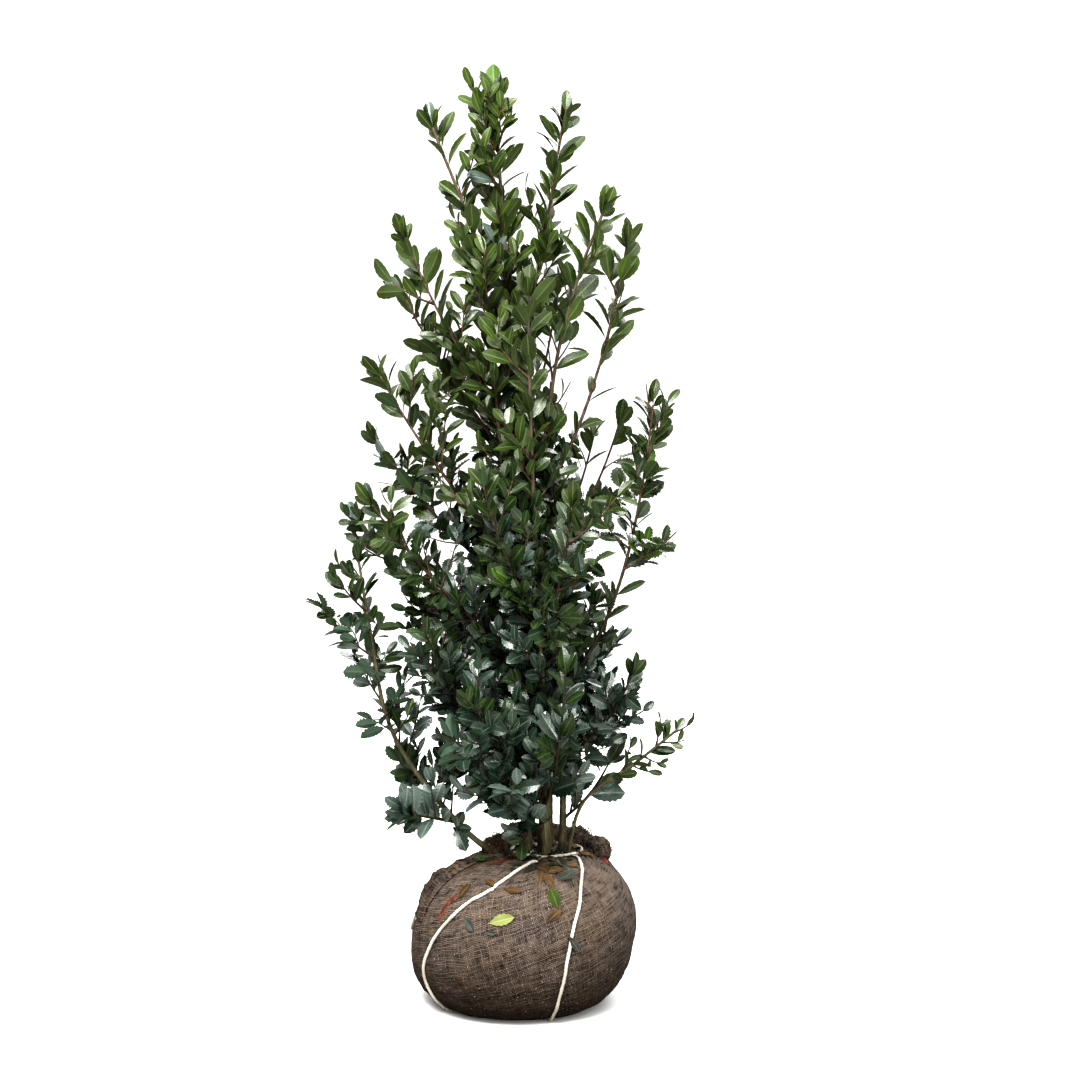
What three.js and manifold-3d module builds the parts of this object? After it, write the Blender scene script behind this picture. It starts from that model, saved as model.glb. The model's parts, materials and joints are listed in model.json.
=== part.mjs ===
// A young holly with several upright stems, standing on its wrapped root ball.
//
// Millimetres, +Z up. The origin is on the ball's flat underside, and -Y is the front.
// The ball is a lathed body with a flat foot and a flat top. Every limb is a cylinder bent
// along a curve, and tapers. A limb starts on the ball or on the limb that carries it, and
// ends where its mass of foliage begins. Each mass grows by one seeded rule from one stem:
// leaves in a spiral, with a twig in every third place, each kept only where it has room.

import Module from "manifold-3d";
import * as THREE from "three";
import { ConvexGeometry } from "three/addons/geometries/ConvexGeometry.js";
import { mergeVertices } from "three/addons/utils/BufferGeometryUtils.js";

const wasm = await Module();
wasm.setup();

// ---------------------------------------------------------------- driving dimensions

const gap = 0.3; // between pieces that touch
const cutGap = 0.38; // round a cutter with flat sides, so that its flats keep the gap
const slopeGap = 0.5; // above the ball, so that its slopes keep the gap
const wallGap = 0.8; // between a leaf and a limb that it passes

const ballHeight = 240;
const ballFootRadius = 112; // the flat underside
const ballTopRadius = 76; // the flat top, where the stems stand
const ballBulge = 212; // how far out the side's two control points lie
const ballBulgeHeights = [14, 214];
const ballTopShift = 35; // the top lies to the right of the foot
const ballTopBend = 11; // how late the side bends towards the top
const ballFootShift = [-4, -30]; // the foot lies to the left of the belly and in front of it
const ballLean = 0.1; // the right shoulder is higher than the left one
const ballLumps = [0.016, 0.012]; // two and three swellings round the ball
const ballSegments = 30;
const ballRings = 12;
const footShare = 0.12; // of the way from the underside's middle to the top's middle
const topShare = 0.9;

const twineRadius = 3.3;
const twineSides = 6;
const twineSteps = 40;
const twineStand = 3.9; // from the ball's skin to the middle of the string
const twineLift = 7.2; // where one string passes over the other, under the ball
const twineClear = 0.2; // how far a string stays off the ground
const undersideBand = 12; // a string lower than this lies under the ball
const undersideSteps = 14;
const neckRadius = 58; // of the twine round the stems' foot
const neckFlatness = 0.86; // that ring is narrower from front to back
const neckCentre = 38;
const neckSteps = 20;

const collarRadius = 86; // of the bunched sacking behind the stems
const collarThickness = 26; // half its height at the fullest
const collarSink = 2; // how far its middle lies below the ball's top
const collarArc = [-16, 194]; // degrees round the neck
const collarRows = 13;
const collarSides = 6;

const leafLength = 70;
const leafWidth = 34;
const leafShoulder = [0.42, 0.34, 0.036]; // half width, way along and lift, as shares
const leafBelly = [0.5, 0.7, 0.056];
const leafSizes = [0.85, 1.1]; // the smallest and the largest leaf on a stem
const tipSizes = [0.72, 0.86]; // and at its tip
const leafAngle = 48; // degrees between a leaf and its twig
const leafRise = 0.25; // how far a leaf or twig turns up as it grows
const leafRoll = 62; // degrees, the most that a leaf is turned about its own length
const leafPitch = 26; // along a stem, from leaf to leaf
const leafStagger = 0.3; // how far a leaf may lie off its place, as a share of the pitch
const leafLean = 0.4; // how far a leaf's face turns from its twig's tip to the twig
const tipAngles = [8, 30]; // of the two leaves at a stem's tip
const tipTurn = 162; // degrees round the stem from one of them to the other
const goldenAngle = 137.5;

const twigEvery = 3; // every third place on a stem has a twig, where there is room
const twigsUpTo = 0.8; // of the way along the stem
const twigAngle = 52;
const twigLength = 104; // near a stem's foot
const twigShrink = 0.55; // what a twig near the stem's tip lacks of that
const twigSizes = [0.8, 1.2];
const twigRadius = 2.3;
const twigTaper = 0.35; // what a twig has lost of its radius at its tip
const stemSwell = 1.2; // a three-sided stem is drawn wider, so that it is as thick
const ownSpace = 1.6; // how much nearer a leaf is to its own stem than to any other
const reach = 128; // the furthest that a leaf or twig lies from its own stem

const boughTipRadius = 2;
const boughSides = 5;
const limbRow = 85; // the length of one row of faces on a limb
const flare = 0.2; // what a stem's foot gains on the ball, as a share of its radius
const flareLength = 30;

// Stems that rise from the ball: the places that each one passes, its radius at the foot and
// at the tip, the share of its length that is bare, and the sides of its section.
const stems = {
  trunk: {
    through: [[35, 0, 232], [32, 4, 433], [-3, 0, 921], [-27, 0, 1200], [-46, 0, 1466]],
    radii: [13, 4],
    bare: 0.8,
    sides: 8,
  },
  stem_left: {
    through: [[8, -10, 232], [2, -38, 520], [-38, -34, 930], [-72, -26, 1220], [-144, -20, 1418]],
    radii: [7.5, 3.2],
    bare: 0.66,
    sides: 6,
  },
  stem_right: {
    through: [[64, -4, 232], [64, -22, 560], [44, -44, 980], [88, -58, 1180], [126, -62, 1280]],
    radii: [7.5, 3.2],
    bare: 0.72,
    sides: 6,
  },
  stem_back: {
    through: [[42, 30, 232], [40, 74, 560], [0, 86, 940], [-44, 112, 1286]],
    radii: [8, 3.2],
    bare: 0.7,
    sides: 6,
  },
  stem_front: {
    through: [[36, -30, 232], [30, -92, 560], [14, -108, 900], [8, -128, 1150]],
    radii: [7, 3],
    bare: 0.66,
    sides: 6,
  },
  stem_low_left: {
    through: [[-36, 4, 226], [-97, -4, 277], [-212, -14, 436], [-250, -16, 610], [-268, -10, 722]],
    radii: [6.5, 3],
    bare: 0.4,
    sides: 6,
  },
  stem_low_right: {
    through: [[70, -24, 232], [98, -54, 335], [184, -72, 404], [246, -80, 456]],
    radii: [4, 2.4],
    bare: 0.42,
    sides: 5,
  },
};

// Shoots that leave a stem: the stem, the height where they leave it, the tip, how far they
// sweep outwards before they turn up, the radius at the foot, and the share that is bare.
// A shoot with no bare share is all foliage, and grows straight from its stem.
const shoots = {
  right_leader: { from: "trunk", at: 1010, tip: [62, 26, 1422], sweep: 0.1, radius: 3.4, bare: 0 },
  left_top: { from: "stem_left", at: 985, tip: [-184, -50, 1236], sweep: 0.3, radius: 3.4, bare: 0 },
  left_high: { from: "trunk", at: 860, tip: [-192, 46, 1146], sweep: 0.2, radius: 4.2, bare: 0.36 },
  left_upper: { from: "stem_left", at: 730, tip: [-228, -62, 1024], sweep: 0.2, radius: 4.4, bare: 0.36 },
  left_middle: { from: "trunk", at: 640, tip: [-240, 58, 910], sweep: 0.2, radius: 3.8, bare: 0 },
  left_lower: { from: "stem_left", at: 560, tip: [-240, -92, 820], sweep: 0.2, radius: 3.8, bare: 0 },
  left_wide: { from: "trunk", at: 500, tip: [-270, 76, 780], sweep: 0.35, radius: 4.6, bare: 0.38 },
  right_high: { from: "stem_right", at: 850, tip: [166, -4, 1230], sweep: 0.45, radius: 4.2, bare: 0.36 },
  right_wide: { from: "stem_right", at: 520, tip: [208, -46, 976], sweep: 0.8, radius: 4.8, bare: 0.4 },
  right_middle: { from: "trunk", at: 700, tip: [156, 54, 940], sweep: 0.5, radius: 3.6, bare: 0 },
  right_lower: { from: "stem_right", at: 400, tip: [172, -100, 546], sweep: 0.5, radius: 3.6, bare: 0 },
  right_low: { from: "stem_right", at: 296, tip: [140, -16, 392], sweep: 0.4, radius: 3, bare: 0 },
  front_low: { from: "stem_front", at: 380, tip: [-76, -180, 512], sweep: 0.6, radius: 3.4, bare: 0 },
  front_middle: { from: "stem_front", at: 640, tip: [-61, -156, 852], sweep: 0.4, radius: 3.2, bare: 0 },
  front_right: { from: "stem_front", at: 600, tip: [76, -186, 822], sweep: 0.5, radius: 3.2, bare: 0 },
  front_wide: { from: "stem_front", at: 330, tip: [66, -206, 566], sweep: 0.7, radius: 3.8, bare: 0.3 },
  front_foot: { from: "stem_front", at: 290, tip: [-44, -128, 384], sweep: 0.6, radius: 3, bare: 0 },
  low_side: { from: "stem_low_left", at: 290, tip: [-176, -96, 322], sweep: 0, radius: 3.2, bare: 0 },
  low_inner: { from: "stem_left", at: 340, tip: [-140, -84, 590], sweep: 0.3, radius: 3.4, bare: 0 },
  low_outer: { from: "stem_low_left", at: 300, tip: [-196, 66, 380], sweep: 0.3, radius: 3.2, bare: 0 },
  back_low: { from: "stem_back", at: 330, tip: [34, 206, 620], sweep: 0.7, radius: 4.2, bare: 0.32 },
  back_left: { from: "stem_back", at: 400, tip: [-150, 180, 700], sweep: 0.5, radius: 4.2, bare: 0.34 },
  back_right: { from: "stem_back", at: 360, tip: [146, 168, 630], sweep: 0.6, radius: 4.2, bare: 0.34 },
  back_foot: { from: "stem_back", at: 296, tip: [-66, 124, 430], sweep: 0.5, radius: 3.2, bare: 0 },
  back_middle: { from: "stem_back", at: 600, tip: [10, 200, 872], sweep: 0.5, radius: 3.6, bare: 0 },
  back_shoulder: { from: "stem_back", at: 700, tip: [118, 148, 920], sweep: 0.4, radius: 3.6, bare: 0 },
  back_high: { from: "stem_back", at: 820, tip: [-118, 150, 1060], sweep: 0.3, radius: 3.6, bare: 0 },
  back_top: { from: "stem_back", at: 920, tip: [58, 134, 1168], sweep: 0.3, radius: 3.4, bare: 0 },
  inner_left: { from: "trunk", at: 320, tip: [-116, 26, 516], sweep: 0.4, radius: 3.2, bare: 0 },
  inner_right: { from: "trunk", at: 400, tip: [112, 40, 640], sweep: 0.5, radius: 3.2, bare: 0 },
};
const sweepOut = 0.32; // how far a full sweep moves a shoot's bend outwards
const sweepDown = 0.34; // and down, as shares of its width and height

// Each string leaves the ring at the neck, runs down the ball, under it and up its other
// side to the ring again. Its route is a list of angles round the ball, in degrees, and
// shares of the way up its skin, negative past the middle of the underside, with the
// string's lift off its usual line in millimetres.
const twineRoutes = {
  twine_left: [
    [262, 0.93, 0], [252, 0.84, 0], [246, 0.76, 0], [231, 0.67, 0], [222, 0.59, 0],
    [215, 0.51, 0], [211, 0.4, 0], [212, 0.28, 0], [214, 0.16, 0], [214, 0.06, 0],
    [214, -0.06, 0], [214, -0.16, 0], [215, -0.3, 0], [221, -0.5, 0], [226, -0.7, 0],
    [226, -0.84, 0], [222, -0.93, 0],
  ],
  twine_right: [
    [318, 0.93, 0], [313, 0.84, 0], [308, 0.75, 0], [303, 0.66, 0], [298, 0.59, 0],
    [293, 0.44, 0], [291, 0.3, 0], [291, 0.16, 0], [291, 0.04, 0], [291, 0.01, twineLift],
    [291, -0.01, twineLift], [291, -0.04, 0], [291, -0.16, 0], [291, -0.3, 0],
    [288, -0.5, 0], [284, -0.7, 0], [280, -0.84, 0], [278, -0.93, 0],
  ],
};

// ---------------------------------------------------------------- finishes

function finish(colour, roughness) {
  return new THREE.MeshStandardMaterial({ color: colour, roughness, metalness: 0 });
}

const sackingFinish = finish(0x4a4038, 0.95);
const twineFinish = finish(0xdfdbd0, 0.8);
const barkFinish = finish(0x6a6248, 0.8);
const darkLeafFinish = finish(0x16291f, 0.42);
const freshLeafFinish = finish(0x2f4f22, 0.42);
const freshAbove = 1100; // masses whose stems end higher have the fresher green

// ---------------------------------------------------------------- helpers

const { degToRad, lerp } = THREE.MathUtils;

function vector(list) {
  return new THREE.Vector3(...list);
}

/** The same run of numbers between 0 and 1 for the same seed. */
function seeded(seed) {
  let state = seed >>> 0;
  return () => {
    state = (state + 0x6d2b79f5) >>> 0;
    let mixed = Math.imul(state ^ (state >>> 15), state | 1);
    mixed ^= mixed + Math.imul(mixed ^ (mixed >>> 7), mixed | 61);
    return ((mixed ^ (mixed >>> 14)) >>> 0) / 4294967296;
  };
}

/** A manifold solid of a closed geometry, whichever way its faces wind. */
function solid(geometry) {
  const bare = new THREE.BufferGeometry();
  bare.setAttribute("position", geometry.getAttribute("position"));
  bare.setIndex(geometry.getIndex());
  const merged = mergeVertices(bare, 1e-4);
  const position = merged.getAttribute("position");
  const corner = (i) => new THREE.Vector3().fromBufferAttribute(position, i);
  const faces = [];
  let volume = 0;
  for (let i = 0; i < merged.index.count; i += 3) {
    const [a, b, c] = [0, 1, 2].map((k) => merged.index.getX(i + k));
    if (a !== b && b !== c && c !== a) {
      faces.push([a, b, c]);
      volume += corner(a).dot(corner(b).cross(corner(c)));
    }
  }
  const wound = volume < 0 ? faces.map(([a, b, c]) => [a, c, b]) : faces;
  return new wasm.Manifold(
    new wasm.Mesh({
      numProp: 3,
      vertProperties: new Float32Array(position.array),
      triVerts: new Uint32Array(wound.flat()),
    }),
  );
}

/** The largest body of a solid, so that a loose scrap is dropped. */
function mainBody(body) {
  const bodies = body.decompose();
  return bodies.reduce((best, next) => (next.volume() > best.volume() ? next : best));
}

function meshOf(name, body, material) {
  const { vertProperties, triVerts } = mainBody(body).getMesh();
  const geometry = new THREE.BufferGeometry();
  geometry.setAttribute("position", new THREE.BufferAttribute(new Float32Array(vertProperties), 3));
  geometry.setIndex(new THREE.BufferAttribute(new Uint32Array(triVerts), 1));
  geometry.computeVertexNormals();
  const mesh = new THREE.Mesh(geometry, material);
  mesh.name = name;
  return mesh;
}

// ---------------------------------------------------------------- limbs

/** The direction at right angles to a limb, turned round it by an angle. */
function sideways(along, angle) {
  const steady = Math.abs(along.x) < 0.8 ? new THREE.Vector3(1, 0, 0) : new THREE.Vector3(0, 1, 0);
  const first = steady.cross(along).normalize();
  const second = along.clone().cross(first);
  return first.multiplyScalar(Math.cos(angle)).addScaledVector(second, Math.sin(angle));
}

/** A cylinder bent along a curve from one share of its length to another. */
function limbSolid({ curve, from, to, radiusAt, sides, rows, extra = 0 }) {
  const geometry = new THREE.CylinderGeometry(1, 1, 1, sides, rows);
  const position = geometry.getAttribute("position");
  for (let i = 0; i < position.count; i += 1) {
    const spot = lerp(from, to, position.getY(i) + 0.5);
    const distance = Math.hypot(position.getX(i), position.getZ(i));
    const angle = Math.atan2(position.getX(i), position.getZ(i));
    const centre = curve.getPointAt(spot);
    const side = sideways(curve.getTangentAt(spot), angle);
    centre.addScaledVector(side, distance * (radiusAt(spot) + extra));
    position.setXYZ(i, centre.x, centre.y, centre.z);
  }
  return solid(geometry);
}

/** The share of a rising curve's length at which it passes a height. */
function shareAtHeight(curve, height) {
  let low = 0;
  let high = 1;
  for (let halving = 0; halving < 40; halving += 1) {
    const middle = (low + high) / 2;
    if (curve.getPointAt(middle).z < height) low = middle;
    else high = middle;
  }
  return low;
}

/** A limb's radius falls evenly to its tip, and a stem's is wider near the ball. */
function taper(curve, [foot, tip], footFlare) {
  const length = curve.getLength();
  return (spot) => lerp(foot, tip, spot) + foot * footFlare * Math.exp((-spot * length) / flareLength);
}

function layOutLimbs() {
  const laid = new Map();
  for (const [name, { through, radii, bare, sides }] of Object.entries(stems)) {
    const curve = new THREE.CatmullRomCurve3(through.map(vector), false, "centripetal");
    laid.set(name, { name, curve, radiusAt: taper(curve, radii, flare), bare, sides });
  }
  for (const [name, shoot] of Object.entries(shoots)) {
    const parent = laid.get(shoot.from);
    const foot = parent.curve.getPointAt(shareAtHeight(parent.curve, shoot.at));
    const tip = vector(shoot.tip);
    const outwards = 0.5 + sweepOut * shoot.sweep;
    const bend = new THREE.Vector3(
      lerp(foot.x, tip.x, outwards),
      lerp(foot.y, tip.y, outwards),
      lerp(foot.z, tip.z, 0.5 - sweepDown * shoot.sweep),
    );
    const curve = new THREE.QuadraticBezierCurve3(foot, bend, tip);
    const radiusAt = taper(curve, [shoot.radius, boughTipRadius], 0);
    laid.set(name, { name, curve, radiusAt, bare: shoot.bare, sides: boughSides, parent });
  }
  return laid;
}

const limbs = layOutLimbs();

/** The bare stretch of a limb, or the same with room round it. */
function bareStretch(limb, extra) {
  const length = limb.curve.getLength() * limb.bare;
  const rows = Math.max(3, Math.round(length / limbRow));
  return limbSolid({ ...limb, from: 0, to: limb.bare, rows, extra });
}

// ---------------------------------------------------------------- root ball

const [lowBulge, highBulge] = ballBulgeHeights;
const ballSide = new THREE.CubicBezierCurve(
  new THREE.Vector2(ballFootRadius, 0),
  new THREE.Vector2(ballBulge, lowBulge),
  new THREE.Vector2(ballBulge, highBulge),
  new THREE.Vector2(ballTopRadius, ballHeight),
);

/** A point on the ball's skin: share 0 is the middle of the underside, 1 that of the top. */
function ballSkin(angle, share) {
  const flat = new THREE.Vector2();
  if (share < footShare) flat.set((ballFootRadius * share) / footShare, 0);
  else if (share > topShare) flat.set((ballTopRadius * (1 - share)) / (1 - topShare), ballHeight);
  else ballSide.getPoint((share - footShare) / (topShare - footShare), flat);
  const height = flat.y / ballHeight;
  const belly = Math.sin(Math.PI * height);
  const [two, three] = ballLumps;
  const lumps = two * Math.sin(2 * angle + 0.6) + three * Math.sin(3 * angle + 2.1);
  const radius = flat.x * (1 + lumps * belly);
  const [footX, footY] = ballFootShift.map((shift) => shift * (1 - height) ** 2);
  const x = radius * Math.cos(angle) + footX + ballTopShift * height ** ballTopBend;
  const y = radius * Math.sin(angle) + footY;
  return new THREE.Vector3(x, y, flat.y + ballLean * radius * Math.cos(angle) * belly);
}

function ballSolid(lift) {
  const profile = [];
  for (let i = 0; i <= ballRings; i += 1) profile.push(new THREE.Vector2(1, i));
  const geometry = new THREE.LatheGeometry(profile, ballSegments);
  const position = geometry.getAttribute("position");
  for (let i = 0; i < position.count; i += 1) {
    const ring = i % (ballRings + 1);
    const turn = Math.floor(i / (ballRings + 1)) / ballSegments;
    let share = lerp(footShare, topShare, (ring - 1) / (ballRings - 2));
    if (ring === 0) share = 0;
    if (ring === ballRings) share = 1;
    const point = ballSkin(turn * 2 * Math.PI, share);
    position.setXYZ(i, point.x, point.y, point.z + lift);
  }
  return solid(geometry);
}

// ---------------------------------------------------------------- twine and sacking collar

/** The middle of a string, lying on the ball's skin, or level with its flat underside. */
function twineCurve(route) {
  const step = 0.01;
  const guide = new THREE.CatmullRomCurve3(
    route.map(([degrees, share, lift]) => new THREE.Vector3(degrees, 100 * share, lift)),
    false,
    "centripetal",
  );
  const points = guide.getPoints(3 * twineSteps).map(({ x, y, z: lift }) => {
    const angle = degToRad(y < 0 ? x + 180 : x);
    const share = Math.abs(y) / 100;
    const skin = ballSkin(angle, share);
    const round = ballSkin(angle + step, share).sub(ballSkin(angle - step, share));
    const rise = ballSkin(angle, share + step).sub(ballSkin(angle, share - step));
    const outwards = round.cross(rise).normalize();
    if (share > footShare) skin.addScaledVector(outwards, twineStand);
    skin.z = Math.max(skin.z, twineRadius + twineClear) + Math.max(lift, 0);
    return skin;
  });
  return new THREE.CatmullRomCurve3(points, false, "centripetal");
}

function twineSolid(curve, extra, steps = twineSteps) {
  const section = new THREE.Shape();
  for (let i = 0; i < twineSides; i += 1) {
    const angle = (i / twineSides) * 2 * Math.PI;
    const radius = twineRadius + extra;
    const corner = [radius * Math.cos(angle), radius * Math.sin(angle)];
    if (i === 0) section.moveTo(...corner);
    else section.lineTo(...corner);
  }
  section.closePath();
  return solid(new THREE.ExtrudeGeometry(section, { steps, extrudePath: curve }));
}

/** What opens a string's groove downwards, where the string lies under the ball. */
function undersideSlot(curve) {
  const low = curve.points.filter(({ z }) => z < undersideBand);
  const dropped = low.map(({ x, y, z }) => new THREE.Vector3(x, y, z - twineRadius));
  const path = new THREE.CatmullRomCurve3(dropped, false, "centripetal");
  return twineSolid(path, cutGap, undersideSteps);
}

function neckRing(extra) {
  const ring = new THREE.TorusGeometry(neckRadius, twineRadius + extra, twineSides, neckSteps);
  ring.scale(1, neckFlatness, 1);
  return solid(ring.translate(neckCentre, 0, ballHeight + gap + twineRadius));
}

/** The bunched sacking and root fibre: a lumpy horseshoe behind the stems. */
function collarSolid() {
  const geometry = new THREE.CylinderGeometry(1, 1, 1, collarSides, collarRows);
  const position = geometry.getAttribute("position");
  const [first, last] = collarArc.map(degToRad);
  for (let i = 0; i < position.count; i += 1) {
    const share = position.getY(i) + 0.5;
    const angle = lerp(first, last, share);
    const swell = 0.5 + 0.5 * Math.sin(Math.PI * share) + 0.12 * Math.sin(9 * angle);
    const thickness = collarThickness * swell;
    const out = collarRadius + thickness * position.getX(i) + 4 * Math.sin(5 * angle);
    const height = ballHeight - collarSink + thickness * position.getZ(i);
    position.setXYZ(i, neckCentre + out * Math.cos(angle), out * Math.sin(angle), height);
  }
  return solid(geometry);
}

// ---------------------------------------------------------------- leaves

/** A cupped leaf of eight faces, its root at the origin and its tip along +Y. */
function leafGeometry() {
  const points = [new THREE.Vector3(0, 0, 0), new THREE.Vector3(0, leafLength, 0)];
  for (const side of [-1, 1]) {
    for (const [half, along, lift] of [leafShoulder, leafBelly]) {
      const across = side * half * leafWidth;
      points.push(new THREE.Vector3(across, along * leafLength, lift * leafLength));
    }
  }
  return new ConvexGeometry(points);
}

const leaf = leafGeometry();

/** A leaf with its root at a place, its tip along a direction and its face turned one way. */
function placeLeaf(place, direction, facing, size) {
  const across = direction.clone().cross(facing).normalize();
  const face = across.clone().cross(direction);
  const matrix = new THREE.Matrix4().makeBasis(across, direction, face);
  matrix.scale(new THREE.Vector3(size, size, size));
  matrix.setPosition(place);
  return leaf.clone().applyMatrix4(matrix);
}

/** The leaf's middle, and its corners but for its root. */
function leafPoints(geometry, place, direction, size) {
  const position = geometry.getAttribute("position");
  const points = [place.clone().addScaledVector(direction, (leafLength * size) / 2)];
  for (let i = 0; i < position.count; i += 1) {
    const point = new THREE.Vector3().fromBufferAttribute(position, i);
    if (point.distanceTo(place) > 1) points.push(point);
  }
  return points;
}

// ---------------------------------------------------------------- room for each mass

const spinePoints = 14;

/** The lines that the masses grow along, as points for measuring distances. */
const spines = new Map();
for (const { name, curve, bare } of limbs.values()) {
  const points = [];
  for (let i = 0; i <= spinePoints; i += 1) {
    points.push(curve.getPointAt(lerp(bare, 1, i / spinePoints)));
  }
  spines.set(name, points);
}

const stretch = new THREE.Line3();
const nearest = new THREE.Vector3();

function distanceToSpine(point, spine) {
  let best = Infinity;
  for (let i = 1; i < spine.length; i += 1) {
    stretch.set(spine[i - 1], spine[i]);
    stretch.closestPointToPoint(point, true, nearest);
    best = Math.min(best, nearest.distanceTo(point));
  }
  return best;
}

/** Whether a point is in a mass's own space: nearer to its spine than to any other. */
function inOwnSpace(point, name) {
  const own = distanceToSpine(point, spines.get(name));
  if (own > reach) return false;
  for (const [other, spine] of spines) {
    if (other !== name && distanceToSpine(point, spine) < own + ownSpace) return false;
  }
  return true;
}

// ---------------------------------------------------------------- growth

/** The direction of what grows from a limb, at an angle to it and turned round it. */
function growthDirection(along, turn, degrees) {
  const open = degToRad(degrees);
  const side = sideways(along, turn);
  return along.clone().multiplyScalar(Math.cos(open)).addScaledVector(side, Math.sin(open));
}

/** A mass: leaves and twigs on one stem, each kept only where it has room. */
function growMass(limb, seed, walls) {
  const random = seeded(seed);
  const between = ([low, high]) => lerp(low, high, random());
  const start = limb.bare + (limb.bare > 0 ? gap / limb.curve.getLength() : 0);
  const length = limb.curve.getLength() * (1 - start);
  const rows = Math.max(3, Math.round(length / limbRow));
  const radiusAt = (spot) => limb.radiusAt(spot) * stemSwell;
  const pieces = [limbSolid({ curve: limb.curve, from: start, to: 1, radiusAt, sides: 3, rows })];

  const hasRoom = (body, points) =>
    points.every((point) => inOwnSpace(point, limb.name)) && body.intersect(walls).isEmpty();

  const addLeaf = (curve, spot, turn, angle, size) => {
    const place = curve.getPointAt(spot);
    const along = curve.getTangentAt(spot);
    const direction = growthDirection(along, turn, angle);
    direction.z += leafRise;
    direction.normalize();
    const facing = along.clone().addScaledVector(sideways(along, turn), -leafLean);
    facing.applyAxisAngle(direction, degToRad(leafRoll) * (2 * random() - 1));
    const geometry = placeLeaf(place, direction, facing, size);
    const body = solid(geometry);
    if (hasRoom(body, leafPoints(geometry, place, direction, size))) pieces.push(body);
  };

  const addTwig = (place, along, turn, size) => {
    const direction = growthDirection(along, turn, twigAngle);
    const bend = place.clone().addScaledVector(direction, size / 2);
    const tip = place.clone().addScaledVector(direction, size);
    tip.z += leafRise * size;
    const curve = new THREE.QuadraticBezierCurve3(place, bend, tip);
    const thinning = (spot) => twigRadius * (1 - twigTaper * spot);
    const body = limbSolid({ curve, from: 0, to: 1, radiusAt: thinning, sides: 3, rows: 2 });
    const points = [0.3, 0.5, 0.7, 0.85, 1].map((spot) => curve.getPointAt(spot));
    if (!hasRoom(body, points)) return false;
    pieces.push(body);
    const places = Math.max(2, Math.round(size / leafPitch));
    for (let i = 1; i < places; i += 1) {
      addLeaf(curve, i / places, turn + i * degToRad(goldenAngle), leafAngle, between(leafSizes));
    }
    addLeaf(curve, 0.97, turn + places * degToRad(goldenAngle), tipAngles[0], between(tipSizes));
    return true;
  };

  let turn = random() * 2 * Math.PI;
  const places = Math.max(3, Math.round(length / leafPitch));
  for (let i = 1; i < places; i += 1) {
    const spot = lerp(start, 1, (i + leafStagger * (random() - 0.5)) / places);
    const share = i / places;
    turn += degToRad(goldenAngle);
    const size = twigLength * (1 - twigShrink * share) * between(twigSizes);
    const wantsTwig = i % twigEvery === 1 && share < twigsUpTo;
    const [place, along] = [limb.curve.getPointAt(spot), limb.curve.getTangentAt(spot)];
    const grewTwig = wantsTwig && addTwig(place, along, turn, size);
    if (!grewTwig) addLeaf(limb.curve, spot, turn, leafAngle, between(leafSizes));
  }
  const tipSpot = 1 - 2 / limb.curve.getLength();
  for (const angle of tipAngles) {
    turn += degToRad(tipTurn);
    addLeaf(limb.curve, tipSpot, turn, angle, between(tipSizes));
  }
  return wasm.Manifold.union(pieces);
}

// ---------------------------------------------------------------- assembly

const holly = new THREE.Group();
const bareLimbs = [...limbs.values()].filter((limb) => limb.bare > 0);
const walls = wasm.Manifold.union(bareLimbs.map((limb) => bareStretch(limb, wallGap)));
const ballWithGap = ballSolid(slopeGap);

for (const limb of bareLimbs) {
  const foot = limb.parent ? bareStretch(limb.parent, cutGap) : ballWithGap;
  const name = limb.parent ? `bough_${limb.name}` : limb.name;
  holly.add(meshOf(name, bareStretch(limb, 0).subtract(foot), barkFinish));
}

let seed = 11;
for (const limb of limbs.values()) {
  seed += 7;
  const grown = growMass(limb, seed, walls);
  const mass = limb.bare === 0 ? grown.subtract(bareStretch(limb.parent, cutGap)) : grown;
  const fresh = limb.curve.getPointAt(1).z > freshAbove;
  const name = `foliage_${limb.name.replace("stem_", "")}`;
  holly.add(meshOf(name, mass, fresh ? freshLeafFinish : darkLeafFinish));
}

const strings = Object.entries(twineRoutes).map(([name, route]) => [name, twineCurve(route)]);
const grooves = wasm.Manifold.union(strings.map(([, curve]) => twineSolid(curve, cutGap)));
const slots = wasm.Manifold.union(strings.map(([, curve]) => undersideSlot(curve)));
const ringWithGap = neckRing(cutGap);
for (const [name, curve] of strings) {
  holly.add(meshOf(name, twineSolid(curve, 0).subtract(ringWithGap), twineFinish));
}
holly.add(meshOf("twine_neck", neckRing(0), twineFinish));

const aroundCollar = wasm.Manifold.union([grooves, walls, ballWithGap, ringWithGap]);
holly.add(meshOf("sacking_collar", collarSolid().subtract(aroundCollar), sackingFinish));
holly.add(meshOf("root_ball", ballSolid(0).subtract(grooves).subtract(slots), sackingFinish));

export default holly;
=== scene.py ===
# %% [markdown]
# # A young holly on its wrapped root ball
#
# A nursery lifts a young holly with the soil round its roots, wraps that soil in sacking and
# ties it with twine. The plant is a clump of thin upright stems. Its old twigs low down are
# dense and spiny, and its long young shoots are open, with smoother and fresher leaves.
#
# The frame gives the real size and place of every part. The looks are made here, in the same
# frame, so nothing is moved to fit.

# %% The fixed frame
import json
import math

import bpy
import numpy as np
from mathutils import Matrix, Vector, bvhtree, kdtree, noise

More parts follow.
